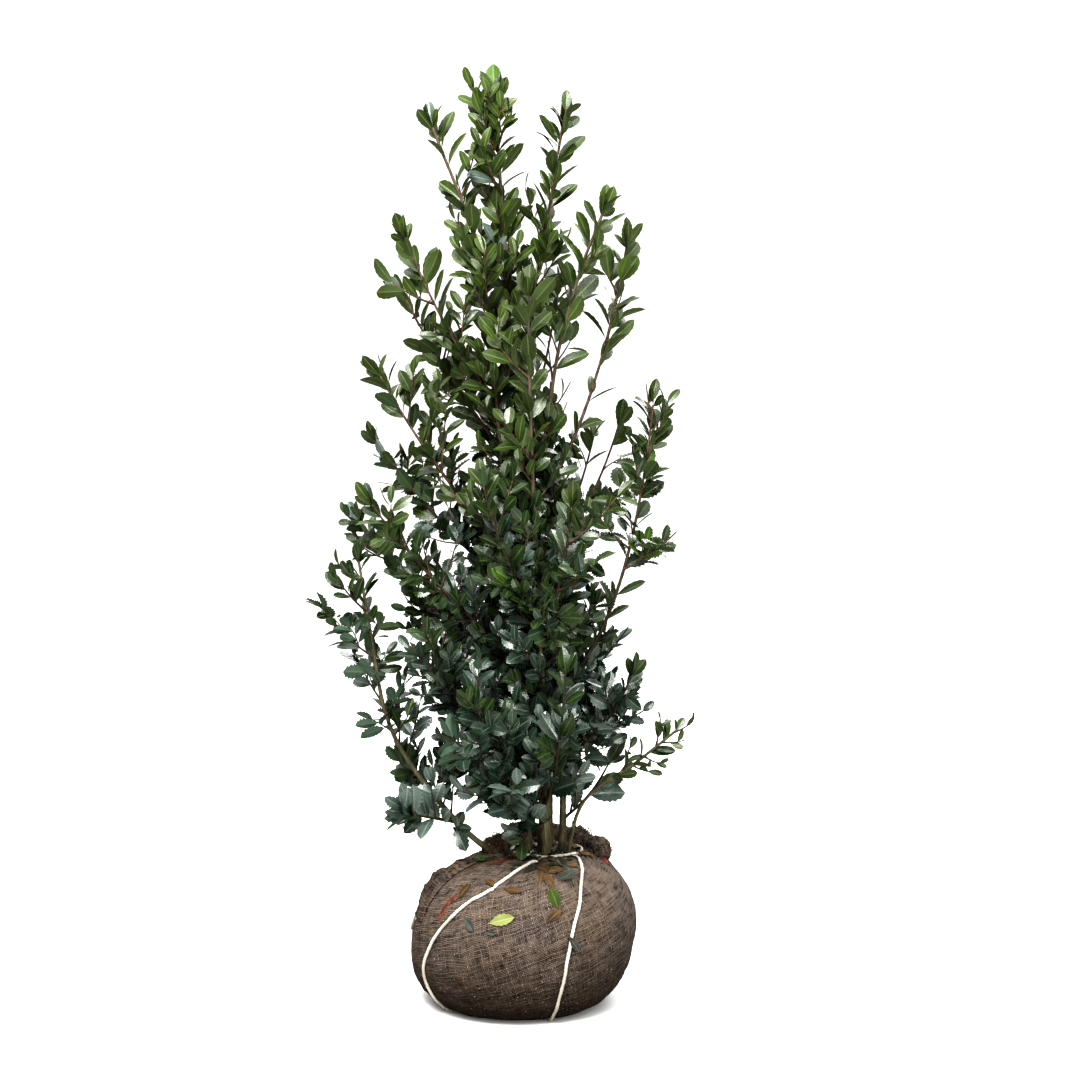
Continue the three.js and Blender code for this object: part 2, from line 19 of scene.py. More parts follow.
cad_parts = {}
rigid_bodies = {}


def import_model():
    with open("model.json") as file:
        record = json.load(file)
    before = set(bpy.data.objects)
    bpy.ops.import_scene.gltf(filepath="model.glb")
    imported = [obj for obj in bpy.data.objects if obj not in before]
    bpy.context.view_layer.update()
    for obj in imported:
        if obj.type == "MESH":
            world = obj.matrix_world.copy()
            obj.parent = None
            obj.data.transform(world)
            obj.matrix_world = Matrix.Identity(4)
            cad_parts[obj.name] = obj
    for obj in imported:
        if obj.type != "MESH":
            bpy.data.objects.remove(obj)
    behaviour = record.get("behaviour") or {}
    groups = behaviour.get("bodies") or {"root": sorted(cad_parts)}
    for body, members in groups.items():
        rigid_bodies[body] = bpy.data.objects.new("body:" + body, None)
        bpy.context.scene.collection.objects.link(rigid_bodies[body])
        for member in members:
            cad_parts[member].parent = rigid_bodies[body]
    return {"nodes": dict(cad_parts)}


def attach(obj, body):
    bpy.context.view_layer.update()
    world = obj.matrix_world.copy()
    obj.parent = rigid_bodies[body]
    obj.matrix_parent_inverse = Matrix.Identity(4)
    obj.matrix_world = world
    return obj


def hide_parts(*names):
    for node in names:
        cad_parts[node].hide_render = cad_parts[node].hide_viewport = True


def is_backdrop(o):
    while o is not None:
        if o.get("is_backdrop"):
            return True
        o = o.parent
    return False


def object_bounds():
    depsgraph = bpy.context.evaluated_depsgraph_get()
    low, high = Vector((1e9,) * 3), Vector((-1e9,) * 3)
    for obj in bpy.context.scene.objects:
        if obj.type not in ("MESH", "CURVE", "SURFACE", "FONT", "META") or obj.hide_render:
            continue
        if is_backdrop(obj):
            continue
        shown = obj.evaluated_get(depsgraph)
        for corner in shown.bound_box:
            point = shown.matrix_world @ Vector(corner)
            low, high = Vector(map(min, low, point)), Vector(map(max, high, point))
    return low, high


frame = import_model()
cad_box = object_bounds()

scene = bpy.context.scene
BODY = "root"
METRES = 0.001  # every size below is in millimetres until a mesh is made
NODES = sorted(frame["nodes"])
print(f"{len(NODES)} nodes, {1000 * (cad_box[1].z - cad_box[0].z):.0f} mm high")

# %% [markdown]
# ## Camera, floor and light
#
# A plant like this is looked at from a few steps away and a little above its middle. A lens
# of 72 mm on a full sensor keeps the perspective calm. The floor is a wide pale disc. The sky
# is bright above, dark at the sides and plain white where the camera sees it, so the glossy
# leaves pick up a soft white sheen from above.

# %% Camera
FRAME_SIDE = 1080  # pixels
FOCAL_LENGTH = 2153  # pixels
SENSOR = 36
CAMERA_PLACE = (0.027, -3.5, 1.05)
CAMERA_DIP = 4.8  # degrees below the horizon

camera = bpy.data.objects.new("camera", bpy.data.cameras.new("camera"))
camera.data.sensor_width = SENSOR
camera.data.lens = SENSOR * FOCAL_LENGTH / FRAME_SIDE
camera.location = CAMERA_PLACE
camera.rotation_euler = (math.radians(90 - CAMERA_DIP), 0, 0)
scene.collection.objects.link(camera)
scene.camera = camera
scene.view_settings.view_transform = "Standard"
scene.view_settings.look = "High Contrast"
print(f"lens {camera.data.lens:.1f} mm")

# %% [markdown]
# ## How a finish is put together
#
# Each finish is a Principled shader fed by a few nodes. Effects that several finishes share,
# such as uneven colour, grain or weave, are built once as node groups with named inputs, and
# each finish places them with its own values. They give out only colours, masks and heights.

# %% Short words for shader nodes
def rgb(code):
    """A colour written as six hex digits, as the shader's own linear numbers."""
    levels = [int(code[i : i + 2], 16) / 255 for i in (0, 2, 4)]
    return (*[v / 12.92 if v <= 0.04045 else ((v + 0.055) / 1.055) ** 2.4 for v in levels], 1)


class Nodes:
    """Adds shader nodes to a tree. Positional values go to a node's sockets in order."""

    def __init__(self, tree):
        self.tree = tree

    def put(self, socket, value):
        if isinstance(value, bpy.types.NodeSocket):
            self.tree.links.new(value, socket)
        else:
            socket.default_value = rgb(value) if isinstance(value, str) else value

    def add(self, kind, *values, **options):
        node = self.tree.nodes.new(f"ShaderNode{kind}")
        for name, value in options.items():
            if hasattr(node, name):
                setattr(node, name, value)
            else:
                self.put(node.inputs[name.replace("_", " ")], value)
        for socket, value in zip(node.inputs, values):
            self.put(socket, value)
        return node.outputs

    def math(self, operation, *values, clamp=False):
        return self.add("Math", *values, operation=operation, use_clamp=clamp)[0]

    def between(self, value, low, high, to_low=0.0, to_high=1.0):
        return self.add("MapRange", value, low, high, to_low, to_high)[0]

    def mix(self, factor, first, second):
        node = self.tree.nodes.new("ShaderNodeMix")
        node.data_type = "RGBA"
        for index, value in ((0, factor), (6, first), (7, second)):
            self.put(node.inputs[index], value)
        return node.outputs[2]

    def group(self, name, **values):
        node = self.tree.nodes.new("ShaderNodeGroup")
        node.node_tree = bpy.data.node_groups[name]
        for label, value in values.items():
            self.put(node.inputs[label], value)
        return node.outputs

    def place(self, name="Object"):
        return self.add("TexCoord")[name]

    def height(self, place):
        return self.add("SeparateXYZ", place)[2]

    def cloud(self, place, scale, detail=2.0):
        return self.add("TexNoise", Vector=place, Scale=scale, Detail=detail)[0]

    def patches(self, place, first, second, scale, amount=1.0):
        values = {"Place": place, "First": first, "Second": second, "Scale": scale}
        return self.group("uneven_colour", **values, Amount=amount)["Colour"]

    def mark(self):
        return self.add("Attribute", attribute_name="mark")["Fac"]

    def bump(self, height, strength, distance):
        return self.add("Bump", Strength=strength, Distance=distance, Height=height)[0]


print("words for nodes:", ", ".join(word for word in vars(Nodes) if word[0] != "_"))

# %% Node groups and materials
KINDS = {str: "NodeSocketColor", float: "NodeSocketFloat", type(None): "NodeSocketVector"}


def shared_effect(outputs, **inputs):
    """Makes a node group of the function below it. Colours are codes, and places are None."""

    def make(build):
        tree = bpy.data.node_groups.new(build.__name__, "ShaderNodeTree")
        nodes = Nodes(tree)
        for label, default in inputs.items():
            kind = KINDS[type(default)]
            socket = tree.interface.new_socket(label, in_out="INPUT", socket_type=kind)
            if default is not None:
                nodes.put(socket, default)
        for label, kind in outputs.items():
            tree.interface.new_socket(label, in_out="OUTPUT", socket_type=KINDS[kind])
        given = tree.nodes.new("NodeGroupInput").outputs
        taken = tree.nodes.new("NodeGroupOutput").inputs
        for label, value in build(nodes, given).items():
            nodes.put(taken[label], value)
        return build

    return make


def finish_of(name, build, **values):
    """A material. build returns what goes to the shader's sockets, values are set on it."""
    material = bpy.data.materials.new(name)
    material.use_nodes = True
    nodes = Nodes(material.node_tree)
    shader = material.node_tree.nodes["Principled BSDF"]
    for label, value in {**values, **build(nodes)}.items():
        nodes.put(shader.inputs[label.replace("_", " ")], value)
    return material


print("kinds of sockets:", ", ".join(KINDS.values()))


# %% Light
SKY_ABOVE, SKY_BESIDE = (2.1, 2.12, 2.1, 1), (0.04, 0.04, 0.04, 1)


def soft_light(name, place, aim, side, watts, colour):
    """A square lamp that faces a point."""
    lamp = bpy.data.lights.new(name, "AREA")
    lamp.size = side
    lamp.energy = watts
    lamp.color = colour
    light = bpy.data.objects.new(name, lamp)
    light.location = place
    light.rotation_euler = (Vector(aim) - Vector(place)).to_track_quat("-Z", "Y").to_euler()
    scene.collection.objects.link(light)


def overcast_world():
    """Light from above, dimmer from the sides. The camera itself sees plain white."""
    world = bpy.data.worlds.new("pale_sky")
    world.use_nodes = True
    nodes = Nodes(world.node_tree)
    up = nodes.height(nodes.place("Generated"))
    high = nodes.math("POWER", nodes.between(up, 0.0, 1.0), 1.4)
    sky = nodes.mix(high, SKY_BESIDE, SKY_ABOVE)
    seen = nodes.mix(nodes.add("LightPath")["Is Camera Ray"], sky, "ffffff")
    nodes.put(world.node_tree.nodes["Background"].inputs["Color"], seen)
    scene.world = world


overcast_world()
soft_light("light_above", (-0.7, -1.7, 2.9), (0, 0, 0.7), 1.2, 82, (1.0, 0.99, 0.97))
soft_light("light_front", (1.1, -3.0, 0.9), (0, 0, 0.4), 0.9, 37, (0.99, 1.0, 0.99))
soft_light("light_behind", (1.2, 2.6, 2.4), (0, 0, 0.8), 1.6, 52, (1.0, 1.0, 1.0))
print("three soft lamps and a pale sky")


# %% Shared effects
@shared_effect(
    {"Colour": str, "Mask": float},
    Place=None, First="ffffff", Second="000000", Scale=20.0, Amount=1.0,
)
def uneven_colour(nodes, given):
    """Patches of a second colour, soft and of mixed sizes."""
    mask = nodes.between(nodes.cloud(given["Place"], given["Scale"], 4.0), 0.38, 0.64)
    mask = nodes.math("MULTIPLY", mask, given["Amount"], clamp=True)
    return {"Colour": nodes.mix(mask, given["First"], given["Second"]), "Mask": mask}


@shared_effect({"Height": float, "Ridges": float, "Pores": float}, Place=None, Scale=300.0)
def bark_grain(nodes, given):
    """Fine ridges along the wood, with small pale pores across it."""
    tall = nodes.add("Mapping", Vector=given["Place"], Scale=(1.0, 1.0, 0.16))[0]
    ridges = nodes.cloud(tall, given["Scale"], 5.0)
    wide = nodes.add("Mapping", Vector=given["Place"], Scale=(0.55, 0.55, 1.0))[0]
    dots = nodes.add("TexVoronoi", Vector=wide, Scale=given["Scale"])["Distance"]
    pores = nodes.between(dots, 0.1, 0.22, 1.0, 0.0)
    height = nodes.math("ADD", ridges, nodes.math("MULTIPLY", pores, 0.4))
    return {"Height": height, "Ridges": ridges, "Pores": pores}


@shared_effect(
    {"Height": float, "Roughness": float}, Place=None, Scale=420.0, Shine=0.3, Dull=0.5
)
def leaf_skin(nodes, given):
    """The faint quilting between a leaf's veins, and how evenly it shines."""
    cells = nodes.add("TexVoronoi", Vector=given["Place"], Scale=given["Scale"])["Distance"]
    cloud = nodes.cloud(given["Place"], 90.0)
    rough = nodes.between(cloud, 0.3, 0.7, given["Shine"], given["Dull"])
    return {"Height": cells, "Roughness": rough}


@shared_effect(
    {"Height": float, "Thread": float}, Place=None, Threads=None, Pitch=0.003, Wander=0.004
)
def woven_threads(nodes, given):
    """Threads that cross, each thicker and thinner as it goes, pushed about by wear."""
    moved = given["Threads"]
    for scale, share in ((9.0, 3.0), (48.0, 1.0)):
        wander = nodes.add("TexNoise", Vector=given["Place"], Scale=scale, Detail=2.0)["Color"]
        offset = nodes.add("VectorMath", wander, (0.5, 0.5, 0.5), operation="SUBTRACT")[0]
        reach = nodes.math("MULTIPLY", given["Wander"], share)
        shift = nodes.add("VectorMath", offset, operation="SCALE", Scale=reach)[0]
        moved = nodes.add("VectorMath", moved, shift, operation="ADD")[0]
    size = nodes.math("DIVIDE", 1.0, given["Pitch"])
    moved = nodes.add("VectorMath", moved, operation="SCALE", Scale=size)[0]
    parts = nodes.add("SeparateXYZ", moved)
    sets = []
    for own, other, seed, strength in ((0, 1, 3.0, 0.8), (1, 0, 41.0, 1.0)):
        wave = nodes.math("SINE", nodes.math("MULTIPLY", parts[own], math.pi))
        run = nodes.math("MULTIPLY", parts[other], 0.07)
        strip = nodes.add("CombineXYZ", nodes.math("MULTIPLY", parts[own], 0.8), run, seed)[0]
        worn = nodes.between(nodes.cloud(strip, 1.0, 3.0), 0.36, 0.6, 0.34 * strength, strength)
        sets.append(nodes.math("MULTIPLY", nodes.math("ABSOLUTE", wave), worn))
    height = nodes.math("MAXIMUM", *sets)
    return {"Height": height, "Thread": nodes.between(height, 0.3, 0.86)}


@shared_effect({"Mask": float}, Place=None, Scale=40.0, Amount=1.0)
def settled_dust(nodes, given):
    """Dry soil that has settled on what faces up, in patches."""
    up = nodes.between(nodes.height(nodes.add("NewGeometry")["Normal"]), -0.2, 0.9)
    cloud = nodes.between(nodes.cloud(given["Place"], given["Scale"], 5.0), 0.4, 0.62)
    mask = nodes.math("MULTIPLY", up, cloud)
    return {"Mask": nodes.math("MULTIPLY", mask, given["Amount"], clamp=True)}


print(f"{len(bpy.data.node_groups)} shared effects")

# %% [markdown]
# ## Leaf finishes
#
# A holly leaf is leathery. Its upper face is dark and glossy and its underside is paler, dull
# and a little blue. Tints that belong to a place on the plant, such as the yellow-green of a
# young shoot, are plain base colours in finishes of their own. Each spray is dealt one. The
# bluish tint also has a painted sheen: its pale grey base stands in for the sky's reflection.

# %% Leaf finishes
LEAF_TINTS = {  # upper face, its darker patches, midrib, underside, shine, dullness, gloss
    "leaf_deep": ("314232", "1a2a1e", "647c6e", "526a56", 0.22, 0.36, 0.9),
    "leaf_dark": ("334424", "203014", "647a4c", "4c6042", 0.23, 0.36, 0.7),
    # the bluish tint: its pale grey base is a painted sheen, the sky's reflection on glossy
    # leaves
    "leaf_blue_painted_sheen": ("64726a", "48584f", "98a69e", "98a49e", 0.23, 0.36, 0.95),
    "leaf_green": ("3f4e24", "2e3d17", "748452", "4c5c34", 0.24, 0.39, 0.6),
    "leaf_fresh": ("4a5b27", "39491a", "80905c", "56663a", 0.25, 0.41, 0.55),
    "leaf_young": ("506c2a", "405a20", "889c58", "6c8040", 0.4, 0.56, 0.3),
    "leaf_brown": ("745a3a", "402f1f", "86704e", "6a553c", 0.6, 0.8, 0.25),
    "leaf_wilted": ("46561e", "2a3416", "6c7a48", "55602e", 0.55, 0.7, 0.2),
    "leaf_grey": ("4a4d44", "30312c", "64665e", "6a6a62", 0.45, 0.65, 0.5),
    "leaf_yellow": ("8a9a58", "86743e", "a8b07c", "949e6c", 0.45, 0.6, 0.35),
}


def leaf_finish(name):
    """A leaf's finish: the upper face, the underside, and a paler midrib and margin."""
    upper, darker, rib, under, shine, dull, gloss = LEAF_TINTS[name]

    def build(nodes):
        place, edge = nodes.place(), nodes.mark()
        skin = nodes.group("leaf_skin", Place=place, Shine=shine, Dull=dull)
        behind = nodes.add("NewGeometry")["Backfacing"]
        lower = nodes.patches(place, under, upper, 60.0, 0.5)
        face = nodes.mix(behind, nodes.patches(place, upper, darker, 26.0), lower)
        face = nodes.mix(nodes.between(edge, 0.02, 0.15, 0.7, 0.0), face, rib)
        face = nodes.mix(nodes.between(edge, 0.86, 1.0, 0.0, 0.5), face, rib)
        dulled = nodes.math("ADD", skin["Roughness"], nodes.math("MULTIPLY", behind, 0.35))
        bump = nodes.bump(skin["Height"], 0.22, 0.0007)
        return {"Base_Color": face, "Roughness": dulled, "Normal": bump}

    return finish_of(name, build, Specular_IOR_Level=gloss)


leaf_finishes = {name: leaf_finish(name) for name in LEAF_TINTS}
print(", ".join(leaf_finishes))

# %% [markdown]
# ## Wood, sacking and twine finishes
#
# The stems are olive and grey at the foot and turn red-brown where the wood is young, so a
# mark from 0 at the foot to 1 at a tip is kept on every point of the wood and mixes the two.
# The sacking is a loose brown weave with soil pressed through it, paler and greyer towards the
# top and darker towards the foot. The twine is white and two-ply.

# %% Wood finishes
def wood_finish(name, old, darker, young, depth):
    """Bark that turns from its old colour to its young one along the mark."""

    def build(nodes):
        place = nodes.place()
        bark = nodes.group("bark_grain", Place=place, Scale=420.0)
        wood = nodes.patches(place, old, darker, 55.0)
        wood = nodes.mix(nodes.between(nodes.mark(), 0.1, 0.75), wood, young)
        wood = nodes.mix(nodes.between(bark["Ridges"], 0.42, 0.62), wood, darker)
        wood = nodes.mix(nodes.math("MULTIPLY", bark["Pores"], 0.3), wood, "978e74")
        rough = nodes.between(bark["Ridges"], 0.3, 0.7, 0.55, 0.85)
        bump = nodes.bump(bark["Height"], 0.7, depth)
        return {"Base_Color": wood, "Roughness": rough, "Normal": bump}

    return finish_of(name, build)


trunk_finish = wood_finish("grey_olive_bark", "7c765a", "504d37", "6c564c", 0.0012)
twig_finish = wood_finish("red_brown_twig", "4a462f", "382d21", "72564a", 0.0006)
root_finish = wood_finish("root_fibre", "57432f", "2f2419", "7b6142", 0.0005)


def bud_finish():
    """Small brown scales with a faint shine."""

    def build(nodes):
        place = nodes.place()
        skin = nodes.group("leaf_skin", Place=place, Scale=900.0, Shine=0.4, Dull=0.6)
        colour = nodes.patches(place, "6b3a26", "3c2417", 120.0)
        bump = nodes.bump(skin["Height"], 0.4, 0.0004)
        return {"Base_Color": colour, "Roughness": skin["Roughness"], "Normal": bump}

    return finish_of("brown_bud", build)


buds_finish = bud_finish()
print("bark, twig, root fibre and bud")


# %% Sacking finishes
BALL_TOP = 0.24  # metres


def sacking_finish(name, pitch, wander, top_tone, foot_tone, hole):
    """A loose weave with soil in its holes, paler and greyer towards the top, and dusty where
    it faces up.
    """

    def build(nodes):
        place, threads = nodes.place(), nodes.add("UVMap")[0]
        weave = nodes.group(
            "woven_threads", Place=place, Threads=threads, Pitch=pitch, Wander=wander
        )
        # colour by height alone: thread and soil darker towards the foot, paler with grey
        # patches towards the top
        up_the_ball = nodes.between(nodes.height(place), 0.0, BALL_TOP * 0.85)
        grey_share = nodes.math("MULTIPLY", up_the_ball, 0.6)
        thread = nodes.patches(place, nodes.mix(up_the_ball, foot_tone, top_tone), "8a8285", 11.0, grey_share)
        soil = nodes.patches(place, nodes.mix(up_the_ball, "1c130d", hole), "19110b", 45.0)
        fuzz = nodes.cloud(place, 900.0, 3.0)
        lit = nodes.between(fuzz, 0.36, 0.6, 0.3, 1.0)
        shown = nodes.math("MULTIPLY", weave["Thread"], lit)
        dust = nodes.group("settled_dust", Place=place, Scale=60.0, Amount=0.3)["Mask"]
        base = nodes.mix(dust, nodes.mix(shown, soil, thread), "a2917f")
        lint = nodes.between(nodes.cloud(place, 420.0, 1.0), 0.705, 0.75)
        base = nodes.mix(nodes.math("MULTIPLY", lint, 0.7), base, "cfc6bb")
        relief = nodes.math("ADD", weave["Height"], nodes.math("MULTIPLY", fuzz, 0.5))
        rough, bump = nodes.between(fuzz, 0.3, 0.7, 0.8, 0.98), nodes.bump(relief, 0.8, 0.0016)
        return {"Base_Color": base, "Roughness": rough, "Normal": bump}

    return finish_of(name, build, Specular_IOR_Level=0.2)


ball_finish = sacking_finish("ball_sacking", 0.003, 0.0055, "ab9989", "443326", "1d150f")
collar_finish = sacking_finish("bunched_sacking", 0.0044, 0.009, "8a735e", "5f4b39", "1f1711")
print(f"{ball_finish.name} and {collar_finish.name}")


# %% Twine, thread and floor finishes
def twine_finish():
    """Soft white strands, soiled near the ground."""

    def build(nodes):
        place = nodes.place()
        strands = nodes.add("TexWave", Vector=place, Scale=240.0, Distortion=3.0)[1]
        foot = nodes.between(nodes.height(place), 0.02, 0.12, 0.55, 0.0)
        colour = nodes.mix(foot, nodes.patches(place, "f8f6f0", "cfc5b5", 22.0), "9a8b76")
        rough = nodes.between(strands, 0.0, 1.0, 0.7, 0.9)
        bump = nodes.bump(strands, 0.5, 0.0006)
        return {"Base_Color": colour, "Roughness": rough, "Normal": bump}

    return finish_of("white_twine", build)


def thread_finish():
    """Dull red yarn, darker in places."""

    def build(nodes):
        place = nodes.place()
        strands = nodes.cloud(place, 1500.0)
        colour = nodes.patches(place, "a8503a", "7b2f28", 90.0)
        rough = nodes.between(strands, 0.3, 0.7, 0.7, 0.9)
        bump = nodes.bump(strands, 0.5, 0.0003)
        return {"Base_Color": colour, "Roughness": rough, "Normal": bump}

    return finish_of("red_thread", build)


def floor_finish():
    """White to the camera and greyer to other rays, so the leaves get less glow from below."""

    def build(nodes):
        tone = nodes.patches(nodes.place(), "fbfbfa", "f8f8f6", 1.5)
        seen = nodes.add("LightPath")["Is Camera Ray"]
        return {"Base_Color": nodes.mix(seen, "9a9890", tone)}

    return finish_of("pale_floor", build, Roughness=0.9, Specular_IOR_Level=0.1)


string_finish = twine_finish()
red_finish = thread_finish()
print(f"{string_finish.name} and {red_finish.name}")

# %% [markdown]
# ## Joined meshes from arrays
#
# The crown has thousands of leaves. As separate objects they would be slow, so points and
# faces are gathered in arrays and each kind of thing becomes a few joined meshes. A bundle
# keeps count of its points and remembers which finish each face has.

# %% Bundles of faces
class Bundle:
    """Points and faces gathered from many small forms, to become one mesh."""

    def __init__(self):
        self.points, self.faces, self.tints, self.marks, self.threads = [], [], [], [], []
        self.count = 0
        self.triangles = 0

    def add(self, points, faces, tint=0, mark=0.0, threads=None):
        """faces is a list of arrays, each with three or four corners to a face."""
        points = np.asarray(points).reshape(-1, 3)
        for block in faces:
            self.faces.append(block + self.count)
            self.tints.append(np.broadcast_to(tint, len(block)))
            self.triangles += len(block) * (block.shape[1] - 2)
            if threads is not None:
                self.threads.append(threads[block].reshape(-1, 2))
        self.marks.append(np.broadcast_to(mark, len(points)))
        self.points.append(points)
        self.count += len(points)


print("an empty bundle has", Bundle().count, "points")


# %% A piece from a bundle
def make_piece(name, bundle, finishes, nodes=(), sharp=None):
    """One mesh object from a bundle, riding on the body and standing for its nodes."""
    mesh = bpy.data.meshes.new(name)
    points = np.concatenate(bundle.points) * METRES
    corners = np.concatenate([block.ravel() for block in bundle.faces]).astype(np.int32)
    sizes = np.concatenate([np.full(len(block), block.shape[1]) for block in bundle.faces])
    starts = np.concatenate(([0], np.cumsum(sizes)[:-1])).astype(np.int32)
    mesh.vertices.add(len(points))
    mesh.vertices.foreach_set("co", points.astype(np.float32).ravel())
    mesh.loops.add(len(corners))
    mesh.loops.foreach_set("vertex_index", corners)
    mesh.polygons.add(len(sizes))
    mesh.polygons.foreach_set("loop_start", starts)
    mesh.polygons.foreach_set("material_index", np.concatenate(bundle.tints).astype(np.int32))
    mesh.polygons.foreach_set("use_smooth", np.full(len(sizes), True))
    mesh.update(calc_edges=True)
    if bundle.threads:
        layer = mesh.uv_layers.new(name="threads")
        layer.data.foreach_set("uv", np.concatenate(bundle.threads).astype(np.float32).ravel())
    marks = mesh.attributes.new("mark", "FLOAT", "POINT")
    marks.data.foreach_set("value", np.concatenate(bundle.marks).astype(np.float32))
    if sharp is not None:
        ends = np.zeros(len(mesh.edges) * 2, np.int32)
        mesh.edges.foreach_get("vertices", ends)
        crease = mesh.attributes.new("sharp_edge", "BOOLEAN", "EDGE")
        crease.data.foreach_set("value", sharp[ends.reshape(-1, 2)].all(axis=1))
    for finish in finishes:
        mesh.materials.append(finish)
    piece = bpy.data.objects.new(name, mesh)
    scene.collection.objects.link(piece)
    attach(piece, BODY)
    if nodes:
        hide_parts(*nodes)
    print(f"{name}: {bundle.triangles} triangles")


def make_form(name, form, finish, nodes=(), threads=None):
    """One mesh object from a single form's points and faces."""
    bundle = Bundle()
    bundle.add(*form, threads=threads)
    make_piece(name, bundle, [finish], nodes)


print(f"every piece rides on the body {BODY}")


# %% Faces between points, and short sums
def grid_faces(rows, columns, closed=True):
    """Four-cornered faces of a grid of points, closed round its columns or open."""
    column = np.arange(columns - (not closed))
    row = np.arange(rows - 1)[:, None] * columns
    here, beside = row + column, row + (column + 1) % columns
    return np.stack([here, beside, beside + columns, here + columns], -1).reshape(-1, 4)


def fan(first, count, middle, inwards=False):
    """Triangles from the sides of a ring of points to one point in its middle."""
    here = np.arange(count)
    sides = [first + here, first + (here + 1) % count]
    return np.stack([*(sides[::-1] if inwards else sides), np.full(count, middle)], -1)


def around_ring(count):
    return np.arange(count) / count * 2 * math.pi


def portion(value):
    return np.clip(value, 0, 1)


def unit(vectors):
    return vectors / np.linalg.norm(vectors, axis=-1, keepdims=True)


def lerp(low, high, share):
    return low + (high - low) * share


def rough(points, size, octaves=3, seed=0.0):
    """Smooth random numbers, about -1 to 1, that change over a distance of size."""
    shift = Vector((seed, 2.3 * seed, -1.7 * seed))
    places = [Vector(point) / size + shift for point in points]
    return np.array([noise.fractal(place, 1.0, 2.0, octaves) for place in places])


print("a fan over a ring of four points:", fan(0, 4, 4).tolist())

# %% [markdown]
# ## The lines that the plant grows along
#
# Every limb follows a smooth line. A stem passes through a few places, and a shoot bends once
# between its foot and its tip. A place along a line is a share of its length. These are the
# same lines, in the same order, as those of the solid model, so that what grows here stands
# where the solids stand.

# %% Lines measured by their length
class Line:
    """A curve whose places are shares of its length, from 0 at the foot to 1 at the tip."""

    def __init__(self, at):
        self.at = at
        self.marks = np.linspace(0, 1, 201)
        steps = np.linalg.norm(np.diff(at(self.marks), axis=0), axis=1)
        self.lengths = np.concatenate(([0], np.cumsum(steps)))
        self.length = self.lengths[-1]

    def mark(self, share):
        return np.interp(np.asarray(share) * self.length, self.lengths, self.marks)

    def point(self, share):
        return self.at(self.mark(share))

    def tangent(self, share, step=1e-4):
        mark = self.mark(share)
        return unit(self.at(np.minimum(mark + step, 1)) - self.at(np.maximum(mark - step, 0)))


def through(places):
    """A smooth line through places (a centripetal Catmull-Rom curve)."""
    p = np.asarray(places, float)
    count = len(p)
    p = np.vstack([2 * p[0] - p[1], p, 2 * p[-1] - p[-2]])
    knots = np.sqrt(np.linalg.norm(np.diff(p, axis=0), axis=1))

    def at(mark):
        spot = np.asarray(mark) * (count - 1)
        i = np.minimum(spot.astype(int), count - 2)
        w = (spot - i)[..., None]
        a, b, c, d = p[i], p[i + 1], p[i + 2], p[i + 3]
        before, here, after = (knots[i + k][..., None] for k in range(3))
        leave = ((b - a) / before - (c - a) / (before + here) + (c - b) / here) * here
        reach = ((c - b) / here - (d - b) / (here + after) + (d - c) / after) * here
        cubic = 2 * b - 2 * c + leave + reach
        square = 3 * c - 3 * b - 2 * leave - reach
        return b + leave * w + square * w**2 + cubic * w**3

    return Line(at)


def bending(foot, bend, tip):
    """A line that bends once between its foot and its tip (a quadratic Bezier curve)."""
    foot, bend, tip = (np.asarray(place, float) for place in (foot, bend, tip))

    def at(mark):
        t = np.asarray(mark)[..., None]
        return (1 - t) ** 2 * foot + 2 * (1 - t) * t * bend + t**2 * tip

    return Line(at)


test_line = bending((0, 0, 0), (0, 0, 50), (0, 50, 50))
print(f"a line bent once over 50 mm: {test_line.length:.1f} mm long")

# %% Stems
STEMS = {  # the places passed, the radius at the foot and at the tip, and the bare share
    "trunk": (
        [(35, 0, 232), (32, 4, 433), (-3, 0, 921), (-27, 0, 1200), (-46, 0, 1466)],
        (13, 4), 0.8,
    ),
    "stem_left": (
        [(8, -10, 232), (2, -38, 520), (-38, -34, 930), (-72, -26, 1220), (-144, -20, 1418)],
        (7.5, 3.2), 0.66,
    ),
    "stem_right": (
        [(64, -4, 232), (64, -22, 560), (44, -44, 980), (88, -58, 1180), (126, -62, 1280)],
        (7.5, 3.2), 0.72,
    ),
    "stem_back": (
        [(42, 30, 232), (40, 74, 560), (0, 86, 940), (-44, 112, 1286)], (8, 3.2), 0.7,
    ),
    "stem_front": (
        [(36, -30, 232), (30, -92, 560), (14, -108, 900), (8, -128, 1150)], (7, 3), 0.66,
    ),
    "stem_low_left": (
        [(-36, 4, 226), (-97, -4, 277), (-212, -14, 436), (-250, -16, 610), (-268, -10, 722)],
        (6.5, 3), 0.4,
    ),
    "stem_low_right": (
        [(70, -24, 232), (98, -54, 335), (184, -72, 404), (246, -80, 456)], (4, 2.4), 0.42,
    ),
}
print(f"{len(STEMS)} stems")

